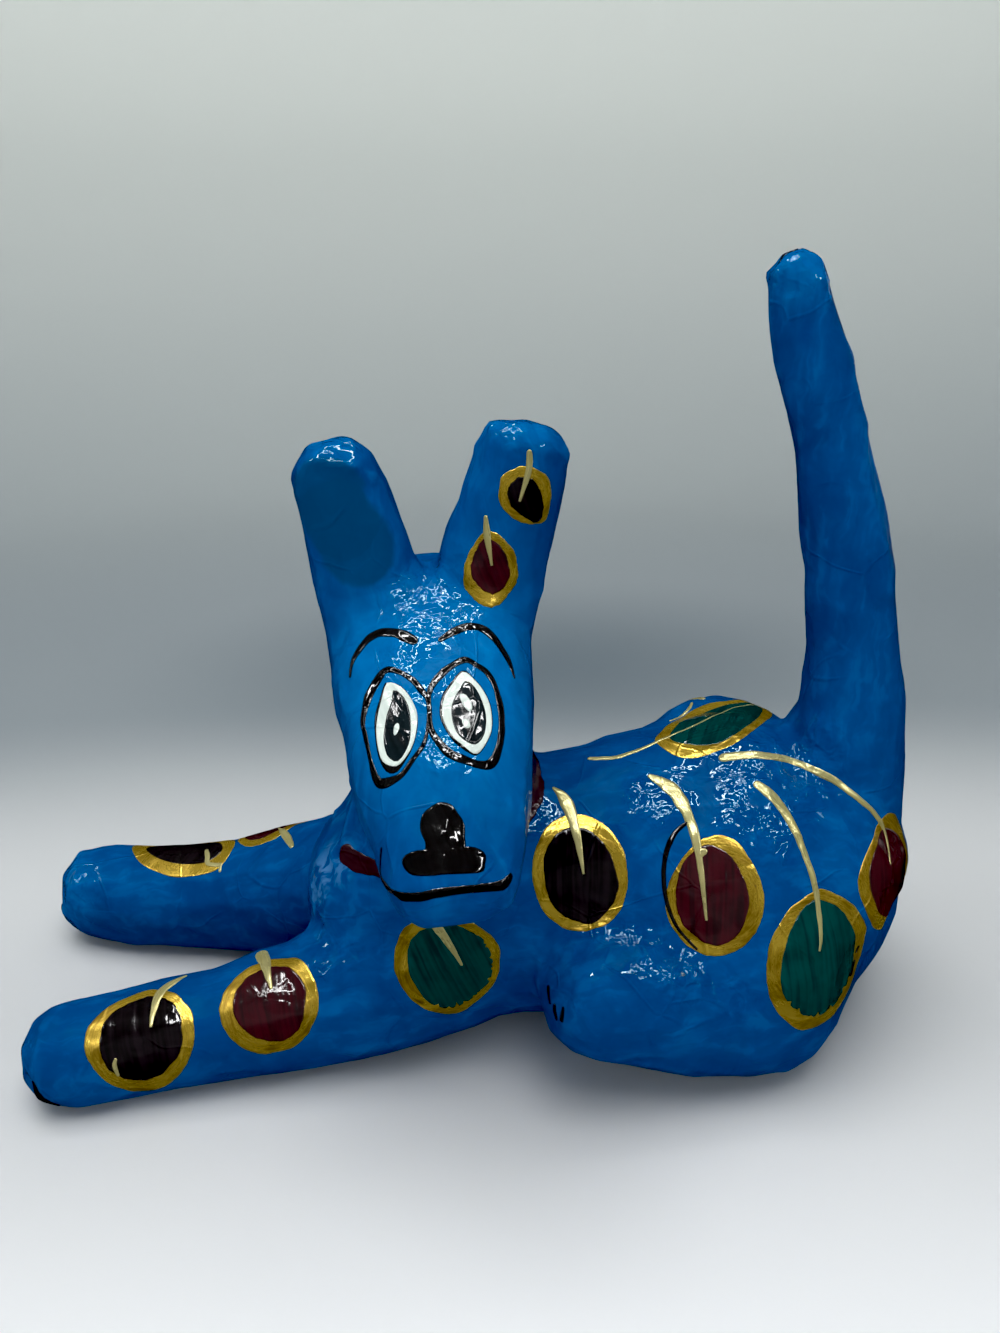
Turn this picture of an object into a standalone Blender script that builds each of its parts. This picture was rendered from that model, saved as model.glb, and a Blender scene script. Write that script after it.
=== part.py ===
"""A papier-mache dog lying down, with its head turned to its left and its tail up.

The dog is one piece. Its masses are lofted one by one, merged into one skin, and
cut flat where the dog lies on the table. It faces -Y, its front paws point along
-X, and its origin is on the table under the middle of its box.
"""

import math

import bmesh
import bpy
from mathutils import Vector

# All sizes are in metres. X runs from the paws to the rump, Y across, Z up.
# A station is its centre (x, y, z), its half width and its half height.
TORSO = (
    ((-0.020, 0.004, 0.056), 0.036, 0.040),
    ((0.002, 0.004, 0.055), 0.045, 0.050),
    ((0.045, 0.003, 0.054), 0.046, 0.053),
    ((0.088, 0.003, 0.059), 0.055, 0.057),
    ((0.116, 0.003, 0.061), 0.061, 0.060),
    ((0.125, 0.002, 0.061), 0.059, 0.055),
)
NECK = (
    ((-0.004, 0.008, 0.066), 0.042, 0.042),
    ((0.001, 0.003, 0.105), 0.0325, 0.034),
    ((0.001, 0.000, 0.148), 0.0235, 0.027),
)
HEAD = (
    ((-0.0040, 0.004, 0.1590), 0.0325, 0.029),
    ((-0.0040, -0.016, 0.1550), 0.0342, 0.031),
    ((-0.0022, -0.040, 0.1450), 0.0300, 0.028),
    ((-0.0012, -0.060, 0.1355), 0.0270, 0.024),
    ((0.0003, -0.078, 0.1260), 0.0222, 0.0170),
    ((0.0007, -0.086, 0.1215), 0.0195, 0.0130),
)
RIGHT_EAR = (
    ((-0.0205, -0.010, 0.1680), 0.0190, 0.0170),
    ((-0.0268, -0.011, 0.1980), 0.0170, 0.0135),
    ((-0.0332, -0.012, 0.2228), 0.0147, 0.0110),
)
LEFT_EAR = (
    ((0.0115, -0.010, 0.1680), 0.0190, 0.0170),
    ((0.0192, -0.011, 0.2020), 0.0173, 0.0135),
    ((0.0262, -0.012, 0.2290), 0.0148, 0.0110),
)
LEFT_FRONT_LEG = (
    ((-0.002, -0.010, 0.0360), 0.0320, 0.0340),
    ((-0.040, -0.021, 0.0260), 0.0250, 0.0260),
    ((-0.085, -0.030, 0.0210), 0.0200, 0.0210),
    ((-0.120, -0.036, 0.0185), 0.0187, 0.0190),
    ((-0.1385, -0.039, 0.0180), 0.0182, 0.0185),
)
RIGHT_FRONT_LEG = (
    ((-0.002, 0.022, 0.0400), 0.0340, 0.0400),
    ((-0.040, 0.034, 0.0330), 0.0270, 0.0330),
    ((-0.088, 0.045, 0.0240), 0.0225, 0.0245),
    ((-0.130, 0.052, 0.0210), 0.0210, 0.0215),
    ((-0.151, 0.056, 0.0205), 0.0200, 0.0210),
)
LEFT_HAUNCH = (
    ((0.112, -0.024, 0.0720), 0.0340, 0.0320),
    ((0.114, -0.034, 0.0500), 0.0360, 0.0330),
    ((0.111, -0.038, 0.0265), 0.0330, 0.0270),
)
LEFT_HIND_FOOT = (
    ((0.1100, -0.039, 0.0320), 0.0280, 0.0280),
    ((0.0880, -0.045, 0.0340), 0.0250, 0.0270),
    ((0.0640, -0.049, 0.0410), 0.0220, 0.0250),
    ((0.0515, -0.051, 0.0440), 0.0200, 0.0220),
)
TAIL = (
    ((0.1420, 0.002, 0.0860), 0.0350, 0.0350),
    ((0.1510, 0.000, 0.1150), 0.0225, 0.0225),
    ((0.1490, 0.000, 0.1500), 0.0170, 0.0170),
    ((0.1390, 0.000, 0.2000), 0.0144, 0.0144),
    ((0.1260, 0.000, 0.2400), 0.0122, 0.0122),
    ((0.1125, 0.000, 0.2800), 0.0098, 0.0098),
)

# The right haunch and hind foot mirror the left ones across this plane, and the
# right haunch stands a little higher at its top.
SPINE_Y = 0.0035
RIGHT_HAUNCH_LIFT = 0.013

# How boxy each mass's sections and rounded ends are: 2 is elliptical.
ROUND = 2.0
BLUNT = 2.2
PADDLE = 2.3
WEDGE = 3.0

# How finely the masses are made and merged.
RING_SIDES = 28
RINGS_PER_SPAN = 5
CAP_RINGS = 5
SKIN_CELL = 0.0026
SKIN_SMOOTHING = 24
SKIN_TRIANGLES = 8600

# How deep the table cuts into the merged skin, and the size of the cutter.
TABLE_BITE = 0.0012
TABLE_BLOCK = 1.0


def remove_everything():
    for obj in list(bpy.data.objects):
        bpy.data.objects.remove(obj)


def new_collection(name):
    collection = bpy.data.collections.new(name)
    bpy.context.scene.collection.children.link(collection)
    return collection


def mirrored(stations, lift_of_first=0.0):
    """The stations on the other side of the spine, with the first one lifted."""
    lifts = [lift_of_first] + [0.0] * (len(stations) - 1)
    return [((x, 2 * SPINE_Y - y, z + lift), width, height)
            for ((x, y, z), width, height), lift in zip(stations, lifts)]


def catmull(a, b, c, d, t):
    """The Catmull-Rom value between b and c."""
    return 0.5 * (2 * b + (c - a) * t + (2 * a - 5 * b + 4 * c - d) * t * t
                  + (3 * b - a - 3 * c + d) * t * t * t)


def run_through(stations):
    """Rings' (centre, half width, half height) on a smooth run through the stations."""
    rows = [(*centre, width, height) for centre, width, height in stations]
    before = [2 * p - q for p, q in zip(rows[0], rows[1])]
    after = [2 * p - q for p, q in zip(rows[-1], rows[-2])]
    rows = [before, *rows, after]
    rings = []
    for i in range(1, len(rows) - 2):
        for step in range(RINGS_PER_SPAN):
            t = step / RINGS_PER_SPAN
            rings.append([catmull(*column, t) for column in zip(*rows[i - 1:i + 3])])
    rings.append(rows[-2])
    return [(Vector(ring[:3]), ring[3], ring[4]) for ring in rings]


def loft(name, stations, squareness, side, collection):
    """A closed body through the stations, with rounded ends.

    side is the direction in which a station's half width is measured.
    """
    rings = run_through(stations)
    power = 2 / squareness
    mesh = bmesh.new()
    loops = []

    def add_ring(centre, along, width, height):
        across = (side - along * side.dot(along)).normalized()
        up = along.cross(across)
        loop = []
        for k in range(RING_SIDES):
            angle = 2 * math.pi * k / RING_SIDES
            c, s = math.cos(angle), math.sin(angle)
            x = math.copysign(abs(c) ** power, c) * width
            y = math.copysign(abs(s) ** power, s) * height
            loop.append(mesh.verts.new(centre + across * x + up * y))
        loops.append(loop)

    def tangent(i):
        before = rings[max(i - 1, 0)][0]
        after = rings[min(i + 1, len(rings) - 1)][0]
        return (after - before).normalized()

    def add_cap(centre, along, width, height, outward):
        reach = min(width, height)
        turns = range(1, CAP_RINGS) if outward > 0 else range(CAP_RINGS - 1, 0, -1)
        for k in turns:
            angle = 0.5 * math.pi * k / CAP_RINGS
            out = outward * reach * math.sin(angle) ** power
            shrink = math.cos(angle) ** power
            add_ring(centre + along * out, along, width * shrink, height * shrink)

    first, last = rings[0], rings[-1]
    add_cap(first[0], tangent(0), first[1], first[2], -1)
    for i, (centre, width, height) in enumerate(rings):
        add_ring(centre, tangent(i), width, height)
    add_cap(last[0], tangent(len(rings) - 1), last[1], last[2], 1)
    for loop, following in zip(loops, loops[1:]):
        for k in range(RING_SIDES):
            n = (k + 1) % RING_SIDES
            mesh.faces.new((loop[k], loop[n], following[n], following[k]))
    mesh.faces.new(list(reversed(loops[0])))
    mesh.faces.new(loops[-1])
    bmesh.ops.recalc_face_normals(mesh, faces=mesh.faces)
    data = bpy.data.meshes.new(name)
    mesh.to_mesh(data)
    mesh.free()
    obj = bpy.data.objects.new(name, data)
    collection.objects.link(obj)
    return obj


def join(objects, name):
    bpy.ops.object.select_all(action="DESELECT")
    for obj in objects:
        obj.select_set(True)
    bpy.context.view_layer.objects.active = objects[0]
    bpy.ops.object.join()
    objects[0].name = name
    return objects[0]


def apply_modifiers(obj):
    graph = bpy.context.evaluated_depsgraph_get()
    mesh = bpy.data.meshes.new_from_object(obj.evaluated_get(graph))
    obj.modifiers.clear()
    obj.data = mesh


def merge_skin(obj):
    """Turn the overlapping masses into one even skin with soft hollows between them."""
    remesh = obj.modifiers.new("One skin", "REMESH")
    remesh.mode = "VOXEL"
    remesh.voxel_size = SKIN_CELL
    smooth = obj.modifiers.new("Soft hollows", "SMOOTH")
    smooth.factor = 0.5
    smooth.iterations = SKIN_SMOOTHING
    apply_modifiers(obj)


def add_facets(obj):
    obj.data.calc_loop_triangles()
    decimate = obj.modifiers.new("Facets", "DECIMATE")
    decimate.ratio = SKIN_TRIANGLES / len(obj.data.loop_triangles)
    decimate.use_collapse_triangulate = True


def cut_flat(obj, cutters):
    """Cut away what the table would press flat."""
    middle = TABLE_BITE - TABLE_BLOCK / 2
    bpy.ops.mesh.primitive_cube_add(size=TABLE_BLOCK, location=(0, 0, middle))
    table = bpy.context.active_object
    table.name = "table_cutter"
    for collection in list(table.users_collection):
        collection.objects.unlink(table)
    cutters.objects.link(table)
    table.hide_render = True
    table.display_type = "WIRE"
    cut = obj.modifiers.new("Flat underside", "BOOLEAN")
    cut.operation = "DIFFERENCE"
    cut.solver = "EXACT"
    cut.object = table
    apply_modifiers(obj)


def centre_on_box(obj):
    """Move the mesh so that the origin is under the middle of its box."""
    points = [vertex.co for vertex in obj.data.vertices]
    low = [min(point[i] for point in points) for i in range(3)]
    high = [max(point[i] for point in points) for i in range(3)]
    shift = Vector(((low[0] + high[0]) / 2, (low[1] + high[1]) / 2, low[2]))
    for vertex in obj.data.vertices:
        vertex.co -= shift


def blue_enamel():
    material = bpy.data.materials.new("blue_enamel")
    material.use_nodes = True
    shader = material.node_tree.nodes["Principled BSDF"]
    shader.inputs["Base Color"].default_value = (0.004, 0.170, 0.510, 1)
    shader.inputs["Roughness"].default_value = 0.28
    shader.inputs["Metallic"].default_value = 0.0
    return material


def build_masses(collection):
    """Every mass of the dog's body, each a closed loft that overlaps its neighbours."""
    along, across = Vector((1, 0, 0)), Vector((0, 1, 0))
    plan = (
        ("torso", TORSO, ROUND, across),
        ("neck", NECK, ROUND, along),
        ("head", HEAD, WEDGE, along),
        ("right_ear", RIGHT_EAR, PADDLE, along),
        ("left_ear", LEFT_EAR, PADDLE, along),
        ("left_front_leg", LEFT_FRONT_LEG, BLUNT, across),
        ("right_front_leg", RIGHT_FRONT_LEG, BLUNT, across),
        ("left_haunch", LEFT_HAUNCH, ROUND, along),
        ("right_haunch", mirrored(LEFT_HAUNCH, RIGHT_HAUNCH_LIFT), ROUND, along),
        ("left_hind_foot", LEFT_HIND_FOOT, BLUNT, across),
        ("right_hind_foot", mirrored(LEFT_HIND_FOOT), BLUNT, across),
        ("tail", TAIL, ROUND, across),
    )
    return [loft(name, stations, squareness, side, collection)
            for name, stations, squareness, side in plan]


def main():
    remove_everything()
    parts = new_collection("papier_mache_dog")
    cutters = new_collection("cutters")
    dog = join(build_masses(parts), "papier_mache_dog")
    merge_skin(dog)
    add_facets(dog)
    cut_flat(dog, cutters)
    centre_on_box(dog)
    dog.data.materials.clear()
    dog.data.materials.append(blue_enamel())


main()
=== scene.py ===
"""A papier-mache dog lying down with its tail up.

The skin is wrinkled paper under blue enamel. Every other colour is a coat of paint that lies on the
skin as a thin film: gold bands, dark fills, pale stems, the face, the collar and the toes.
Lengths are metres unless a name or a description says millimetres.
"""

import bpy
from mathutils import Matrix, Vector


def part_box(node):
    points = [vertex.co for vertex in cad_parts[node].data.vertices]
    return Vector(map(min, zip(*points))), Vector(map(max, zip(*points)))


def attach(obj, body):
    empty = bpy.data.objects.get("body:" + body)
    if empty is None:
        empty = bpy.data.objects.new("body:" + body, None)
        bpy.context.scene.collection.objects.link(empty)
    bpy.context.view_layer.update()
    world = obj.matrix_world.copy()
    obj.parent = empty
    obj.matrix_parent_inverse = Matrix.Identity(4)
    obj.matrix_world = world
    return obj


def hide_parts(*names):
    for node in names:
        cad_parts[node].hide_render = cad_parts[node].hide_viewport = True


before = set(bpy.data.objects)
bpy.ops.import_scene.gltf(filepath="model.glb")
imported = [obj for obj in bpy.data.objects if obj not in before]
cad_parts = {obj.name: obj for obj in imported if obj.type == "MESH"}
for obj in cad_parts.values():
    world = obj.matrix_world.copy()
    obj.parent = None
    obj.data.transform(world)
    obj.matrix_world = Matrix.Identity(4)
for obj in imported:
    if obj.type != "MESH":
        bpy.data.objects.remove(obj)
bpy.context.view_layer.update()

import copy
import math
from collections import namedtuple

import bmesh
import bpy
import numpy as np
from bpy.props import FloatProperty, FloatVectorProperty, IntProperty, PointerProperty
from mathutils import Vector, noise
from mathutils.bvhtree import BVHTree

bl_info = {
    "name": "Papier-mache Dog",
    "version": (1, 0, 0),
    "blender": (4, 5, 0),
    "location": "View3D > Sidebar > Dog",
    "description": "Builds the paper skin, the painted spots, the face and the stage of a papier-mache dog",
    "category": "Object",
}

MM = 0.001
NODE = "papier_mache_dog"
BODY = "root"
LOW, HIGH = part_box(NODE)
SIZE = HIGH - LOW


# ---------------------------------------------------------------- sizes and colours that a user would change

def length_setting(name, description, millimetres, **limits):
    return FloatProperty(
        name=name, description=description, default=millimetres * MM, unit="LENGTH", **limits)


def angle_setting(name, description, degrees):
    return FloatProperty(name=name, description=description, default=math.radians(degrees), subtype="ANGLE")


def colour_setting(name, description, colour):
    return FloatVectorProperty(name=name, description=description, default=colour, subtype="COLOR", size=3)


def number_setting(name, description, number, kind=FloatProperty, **limits):
    return kind(name=name, description=description, default=number, **limits)


class PaperSettings(bpy.types.PropertyGroup):
    """How the paper was laid and how it dried."""

    cell: length_setting("Mesh cell", "Edge of one cell of the skin's mesh", 1.583, min=1.0 * MM)
    rounding: number_setting(
        "Rounding", "Passes that round the skin before the paper's own shape", 14, IntProperty)
    lump: length_setting("Lump height", "Height of the broad lumps", 1.0)
    crumple: length_setting("Crumple height", "Height of the crumples between folds", 0.7)
    strip: length_setting("Strip thickness", "Step at the edge of a pasted strip", 0.1)
    strips: number_setting("Strips", "Number of pasted strips", 150, IntProperty)
    fold: length_setting("Fold height", "Height of a fold of full strength", 1.0)
    flats: number_setting(
        "Flats", "Number of flat triangles that the drying paper pulled itself into", 2800, IntProperty)
    flatness: number_setting(
        "Flatness", "Share of the way from a rounded form to the flats", 0.85,
        min=0.0, max=1.0, subtype="FACTOR")


class PaintSettings(bpy.types.PropertyGroup):
    """The enamels and how thick they lie."""

    film: length_setting("Film", "Thickness of one coat", 0.15)
    blue: colour_setting("Blue", "Enamel of the skin", (0.0, 0.075, 0.247))
    deep_blue: colour_setting("Deep blue", "Where the enamel lies thick", (0.0, 0.058, 0.2))
    # Pale blue is the brush's drag, and also the paler head, a painted highlight on ridges and a painted
    # sheen at the ends.
    pale_blue: colour_setting("Pale blue", "Where the brush dragged", (0.0, 0.145, 0.4))
    gold: colour_setting("Gold", "Bands round the spots", (0.59, 0.41, 0.062))
    pale_gold: colour_setting("Pale gold", "Stems", (0.46, 0.42, 0.19))
    black: colour_setting("Black", "Lines and dark spots", (0.015, 0.014, 0.014))
    red: colour_setting("Dark red", "Red spots", (0.055, 0.018, 0.021))
    green: colour_setting("Dark green", "Green spots", (0.008, 0.058, 0.055))
    white: colour_setting("White", "Eyes", (0.72, 0.8, 0.74))


class StageSettings(bpy.types.PropertyGroup):
    """Floor, lights and camera."""

    floor: colour_setting("Floor", "Floor round the dog", (0.56, 0.575, 0.585))
    wall: colour_setting("Wall", "Sweep behind the dog", (0.255, 0.285, 0.305))
    room: number_setting("Room", "Strength of the pale room", 0.32)
    soft: number_setting("Softbox", "Power of the overhead softbox", 12.2)
    backdrop: number_setting("Backdrop light", "Power of the light on the wall", 5.0)
    sparkle: number_setting("Sparkle", "Power of each side of the lamp ring that only the gloss shows", 5.8)
    front: number_setting("Front panel", "Power of the panel behind the camera", 0.9)
    fill: number_setting("Fill", "Power of the panel behind the camera that the gloss doesn't show", 15.0)
    lens: number_setting("Lens", "Focal length", 28.0, subtype="DISTANCE_CAMERA")
    tilt: angle_setting("Tilt", "How far the camera looks down", 24.0)
    turn: angle_setting("Turn", "How far the camera looks to the right of straight ahead", 4.0)


# ---------------------------------------------------------------- places on the skin

def in_box(along, across, up):
    """A point from its shares, in hundredths, of the dog's length, width and height."""
    return LOW + Vector((SIZE.x * along, SIZE.y * across, SIZE.z * up)) / 100


def added(name, data):
    """A new object in the scene."""
    thing = bpy.data.objects.new(name, data)
    bpy.context.scene.collection.objects.link(thing)
    return thing


def flattened(direction, normal):
    """The direction laid flat on a surface."""
    return (direction - normal * direction.dot(normal)).normalized()


def smooth_path(points, pace, closed=False):
    """Points about one pace apart on a Catmull-Rom curve. Each point is a Vector of any size."""
    count = len(points)
    spans = count if closed else count - 1
    path = []
    for span in range(spans):
        if closed:
            a, b, c, d = (points[(span + k) % count] for k in (-1, 0, 1, 2))
        else:
            a, b, c, d = (points[min(max(span + k, 0), count - 1)] for k in (-1, 0, 1, 2))
        pieces = max(1, round((c - b).length / pace))
        for piece in range(pieces):
            t = piece / pieces
            path.append(0.5 * (2 * b + (c - a) * t + (2 * a - 5 * b + 4 * c - d) * t ** 2
                               + (3 * b - a - 3 * c + d) * t ** 3))
    if not closed:
        path.append(points[-1].copy())
    return path


class Skin:
    """The dog's skin twice: smooth, where places are found, and dried, where paint is laid."""

    made = None
    REACH = 9 * MM

    def __init__(self, smooth, dried):
        self.smooth = self.tree(smooth)
        self.dried = self.tree(dried)
        normals = np.zeros(len(smooth.vertices) * 3)
        smooth.vertices.foreach_get("normal", normals)
        normals = normals.reshape(-1, 3)
        self.normals = [Vector(normals[list(face.vertices)].mean(0)).normalized() for face in smooth.polygons]

    @staticmethod
    def tree(mesh):
        return BVHTree.FromPolygons([v.co for v in mesh.vertices], [p.vertices for p in mesh.polygons])

    def nearest(self, point):
        """The nearest place on the smooth skin, and which way it faces."""
        place, _, face, _ = self.smooth.find_nearest(point)
        return place, self.normals[face]

    def struck(self, start, direction):
        """The first place on the smooth skin along a line, and which way it faces."""
        place, _, face, _ = self.smooth.ray_cast(start, direction)
        if place is None:
            raise RuntimeError(f"no skin along the line from {tuple(start)}")
        return place, self.normals[face]

    def dried_at(self, place, normal):
        """The dried skin over a place on the smooth one."""
        found = self.dried.ray_cast(place + normal * self.REACH, -normal, 2 * self.REACH)[0]
        return place if found is None else found


class Seat:
    """A place on the skin with a flat map round it: u runs right and v runs up, both in metres."""

    UPWARDS = Vector((0, 0.4, 0.9165))
    STRIDE = 0.8 * MM

    def __init__(self, skin, share):
        self.skin = skin
        self.place, self.normal = skin.nearest(in_box(*share))
        self.up = flattened(self.UPWARDS, self.normal)
        self.right = self.up.cross(self.normal)

    def along(self, angle, reaches):
        """What a straight walk over the skin meets at each reach. The reaches rise."""
        place, normal = self.place, self.normal
        heading = self.right * math.cos(angle) + self.up * math.sin(angle)
        met, gone = [], 0.0
        for reach in reaches:
            while reach - gone > 0.01 * MM:
                step = min(self.STRIDE, reach - gone)
                place, normal = self.skin.nearest(place + heading * step)
                heading = flattened(heading, normal)
                gone += step
            met.append((place, normal))
        return met

    def at(self, u, v):
        return self.along(math.atan2(v, u), [math.hypot(u, v)])[-1]


class Easel:
    """A flat board held before the skin: what is drawn on it is carried straight back on to the skin."""

    FAR = 120 * MM

    def __init__(self, skin, share, facing):
        self.skin = skin
        self.facing = Vector(facing).normalized()
        self.place, _ = skin.nearest(in_box(*share))
        self.up = flattened(Vector((0, 0, 1)), self.facing)
        self.right = self.up.cross(self.facing)

    def at(self, u, v):
        start = self.place + self.right * u + self.up * v + self.facing * self.FAR
        return self.skin.struck(start, -self.facing)

    def along(self, angle, reaches):
        return [self.at(reach * math.cos(angle), reach * math.sin(angle)) for reach in reaches]

    def moved(self, u, v):
        """The same board with its middle elsewhere, in millimetres."""
        other = copy.copy(self)
        other.place = self.place + (self.right * u + self.up * v) * MM
        return other


# ---------------------------------------------------------------- films of paint

class Coat:
    """One paint's films, gathered into one mesh.

    A film's edge dips a little way, EDGE of its thickness, into the skin, and its underside lies at SUNK.
    """

    FINE = 0.85 * MM
    BRUSH_PACE = 0.65 * MM
    SUNK = -0.35 * MM
    LIP = 0.25 * MM
    EDGE, SHOULDER = -0.1, 0.85
    NEXT_STREAKS = 0.37
    STROKE_BANDS = (-1.0, -0.86, -0.45, 0.0, 0.45, 0.86, 1.0)
    STROKE_RISES = (EDGE, 0.75, 1.0, 1.05, 1.0, 0.75, EDGE)

    def __init__(self, name, skin, thickness):
        self.name = name
        self.skin = skin
        self.thickness = thickness
        self.vertices = []
        self.faces = []
        self.strokes = []
        self.films = 0

    def film(self, rows, rise, strokes, loop, centre=None):
        """A closed film over a grid of places. rise is, for each place, its share of the thickness.

        strokes is, for each place, how far along and across the brush had come. A loop's rows close on
        themselves, and a centre fills the inside of the first row.
        """
        first = len(self.vertices)
        across, length = len(rows), len(rows[0])
        self.films += 1
        for level in (1, 0):
            for i, row in enumerate(rows):
                for j, (place, normal) in enumerate(row):
                    ground = self.skin.dried_at(place, normal)
                    height = self.thickness * rise[i][j] if level else self.SUNK
                    self.vertices.append(ground + normal * height)
                    self.strokes.append(strokes[i][j])

        def top(i, j):
            return first + i * length + j % length

        def low(i, j):
            return top(i, j) + across * length

        for j in range(length if loop else length - 1):
            for i in range(across - 1):
                self.faces.append((top(i, j), top(i, j + 1), top(i + 1, j + 1), top(i + 1, j)))
                self.faces.append((low(i + 1, j), low(i + 1, j + 1), low(i, j + 1), low(i, j)))
            for i, (one, other) in ((0, (low, top)), (across - 1, (top, low))):
                if i == 0 and centre:
                    continue
                self.faces.append((one(i, j), one(i, j + 1), other(i, j + 1), other(i, j)))
        if centre:
            self.cap(centre, rise[0][0], strokes[0][0], [top(0, j) for j in range(length)], 1)
            self.cap(centre, None, strokes[0][0], [low(0, j) for j in range(length)], -1)
        if not loop:
            for j, order in ((0, 1), (length - 1, -1)):
                for i in range(across - 1):
                    end = (top(i, j), top(i + 1, j), low(i + 1, j), low(i, j))
                    self.faces.append(end[::order])

    def cap(self, centre, rise, stroke, ring, order):
        """A fan that fills a ring from its centre."""
        place, normal = centre
        height = self.SUNK if rise is None else self.thickness * rise
        self.vertices.append(self.skin.dried_at(place, normal) + normal * height)
        self.strokes.append(stroke)
        middle = len(self.vertices) - 1
        for j, corner in enumerate(ring):
            self.faces.append((middle, corner, ring[(j + 1) % len(ring)])[::order])

    def disc(self, seat, outline, inner=None):
        """A patch inside an outline, or the band between an inner outline and it."""
        around = max(24, round(outline.girth() / self.FINE))
        angles = [2 * math.pi * j / around for j in range(around)]
        outs = outline.reaches(angles)
        ins = inner.reaches(angles) if inner else [0.0] * around
        widest = max(out - back for out, back in zip(outs, ins))
        steps = max(3, round(widest / self.FINE))
        lines = []
        for angle, out, back in zip(angles, outs, ins):
            lip = min(self.LIP, 0.2 * (out - back))
            start = back + lip if inner else (out - lip) / steps
            shares = [start + (out - lip - start) * k / (steps - 1) for k in range(steps)]
            lines.append(seat.along(angle, ([back] if inner else []) + shares + [out]))
        rows = [list(row) for row in zip(*lines)]
        count = len(rows)
        rise = [[1.0] * around for _ in range(count)]
        rise[-1] = [self.EDGE] * around
        rise[-2] = [self.SHOULDER] * around
        if inner:
            rise[0] = [self.EDGE] * around
        middle = sum(outs) / around
        turn = self.NEXT_STREAKS * self.films
        lean = 1.2 + 0.2 * (self.films % 4)
        strokes = []
        for i in range(count):
            row = []
            for angle, out, back in zip(angles, outs, ins):
                reach = back + (out - back) * i / (count - 1)
                if inner:
                    row.append((middle * math.cos(angle) + turn, middle * math.sin(angle), reach))
                else:
                    along, across = reach * math.cos(angle + lean), reach * math.sin(angle + lean)
                    row.append((along + turn, 0.0, across))
            strokes.append(row)
        self.film(rows, rise, strokes, True, None if inner else seat.at(0, 0))

    def stroke(self, path, closed=False):
        """A brush stroke along (place, width) pairs on the skin."""
        points = [Vector((*place, width)) for place, width in path]
        line = smooth_path(points, self.BRUSH_PACE, closed)
        places = [self.skin.nearest(Vector(point[:3])) for point in line]
        count = len(line)
        reached = np.cumsum([0.0] + [(b[0] - a[0]).length for a, b in zip(places, places[1:])])
        widths = []
        for point, reach in zip(line, reached):
            from_end = min(reach, reached[-1] - reach) / max(point[3] / 2, 0.1 * MM)
            round_end = 1.0 if closed else math.sqrt(1 - (1 - min(from_end, 1.0)) ** 2)
            widths.append(point[3] * max(round_end, 0.15))
        rows, rise, strokes = ([[] for _ in self.STROKE_BANDS] for _ in range(3))
        for j, ((place, normal), width, gone) in enumerate(zip(places, widths, reached)):
            before = places[j - 1 if closed else max(j - 1, 0)][0]
            after = places[(j + 1) % count if closed else min(j + 1, count - 1)][0]
            side = normal.cross((after - before).normalized()).normalized()
            end = not closed and j in (0, count - 1)
            for i, band in enumerate(self.STROKE_BANDS):
                wobble = 1 + 0.16 * noise.noise(Vector((gone * 260, band, self.films * 7.3)))
                out = place + side * (band * width / 2 * wobble)
                rows[i].append(self.skin.nearest(out))
                rise[i].append(self.EDGE if end else self.STROKE_RISES[i])
                strokes[i].append((gone + self.NEXT_STREAKS * self.films, 0.0, band * width / 2))
        self.film(rows, rise, strokes, closed)

    def piece(self, material, slot):
        """The coat as one object that rides on the dog."""
        mesh = bpy.data.meshes.new(self.name)
        mesh.from_pydata(self.vertices, [], self.faces)
        mesh.attributes.new("stroke", "FLOAT_VECTOR", "POINT").data.foreach_set(
            "vector", np.array(self.strokes, dtype=np.float32).ravel())
        shape = bmesh.new()
        shape.from_mesh(mesh)
        bmesh.ops.recalc_face_normals(shape, faces=shape.faces)
        shape.to_mesh(mesh)
        shape.free()
        mesh.shade_smooth()
        mesh.materials.append(material)
        piece = added(self.name, mesh)
        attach(piece, BODY)
        return piece


class Outline:
    """A closed line through points, in metres, round a middle."""

    def __init__(self, points):
        self.points = points

    def reaches(self, angles):
        """How far out the outline is at each angle."""
        found = sorted((math.atan2(v, u) % (2 * math.pi), math.hypot(u, v)) for u, v in self.points)
        return list(np.interp(angles, [f[0] for f in found], [f[1] for f in found], period=2 * math.pi))

    def girth(self):
        return sum(math.dist(a, b) for a, b in zip(self.points, self.points[1:] + self.points[:1]))


class Egg(Outline):
    """The outline of a hand-painted oval, in millimetres: half its width and height, and how it strays.

    A taper widens its top, a point sharpens its top and bottom, and a lean turns it by that many degrees.
    Notches are where the brush ran dry: from one angle to another, in degrees, and how deep.
    """

    CORNERS = 300

    def __init__(self, width, height, taper=0.0, point=0.0, lean=0.0, at=(0, 0), rough=0.8, seed=0,
                 notches=(0, 0, 0)):
        lean = math.radians(lean)
        first, last, deep = notches
        points = []
        for k in range(self.CORNERS):
            t = 2 * math.pi * k / self.CORNERS
            u = width * math.cos(t) * abs(math.cos(t)) ** point * (1 + taper * math.sin(t))
            v = height * math.sin(t)
            stray = rough * noise.fractal(
                Vector((1.5 * math.cos(t), 1.5 * math.sin(t), 5.1 * seed)), 0.8, 2.1, 5)
            if (math.degrees(t) - first) % 360 < last - first:
                stray -= deep * max(0.0, noise.noise(Vector((11 * t, 3.7 * seed, 0))) * 3 - 0.2)
            reach = 1 + stray / math.hypot(width, height) * 1.4
            u, v = u * reach, v * reach
            points.append(((at[0] + u * math.cos(lean) - v * math.sin(lean)) * MM,
                           (at[1] + u * math.sin(lean) + v * math.cos(lean)) * MM))
        super().__init__(points)


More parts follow.
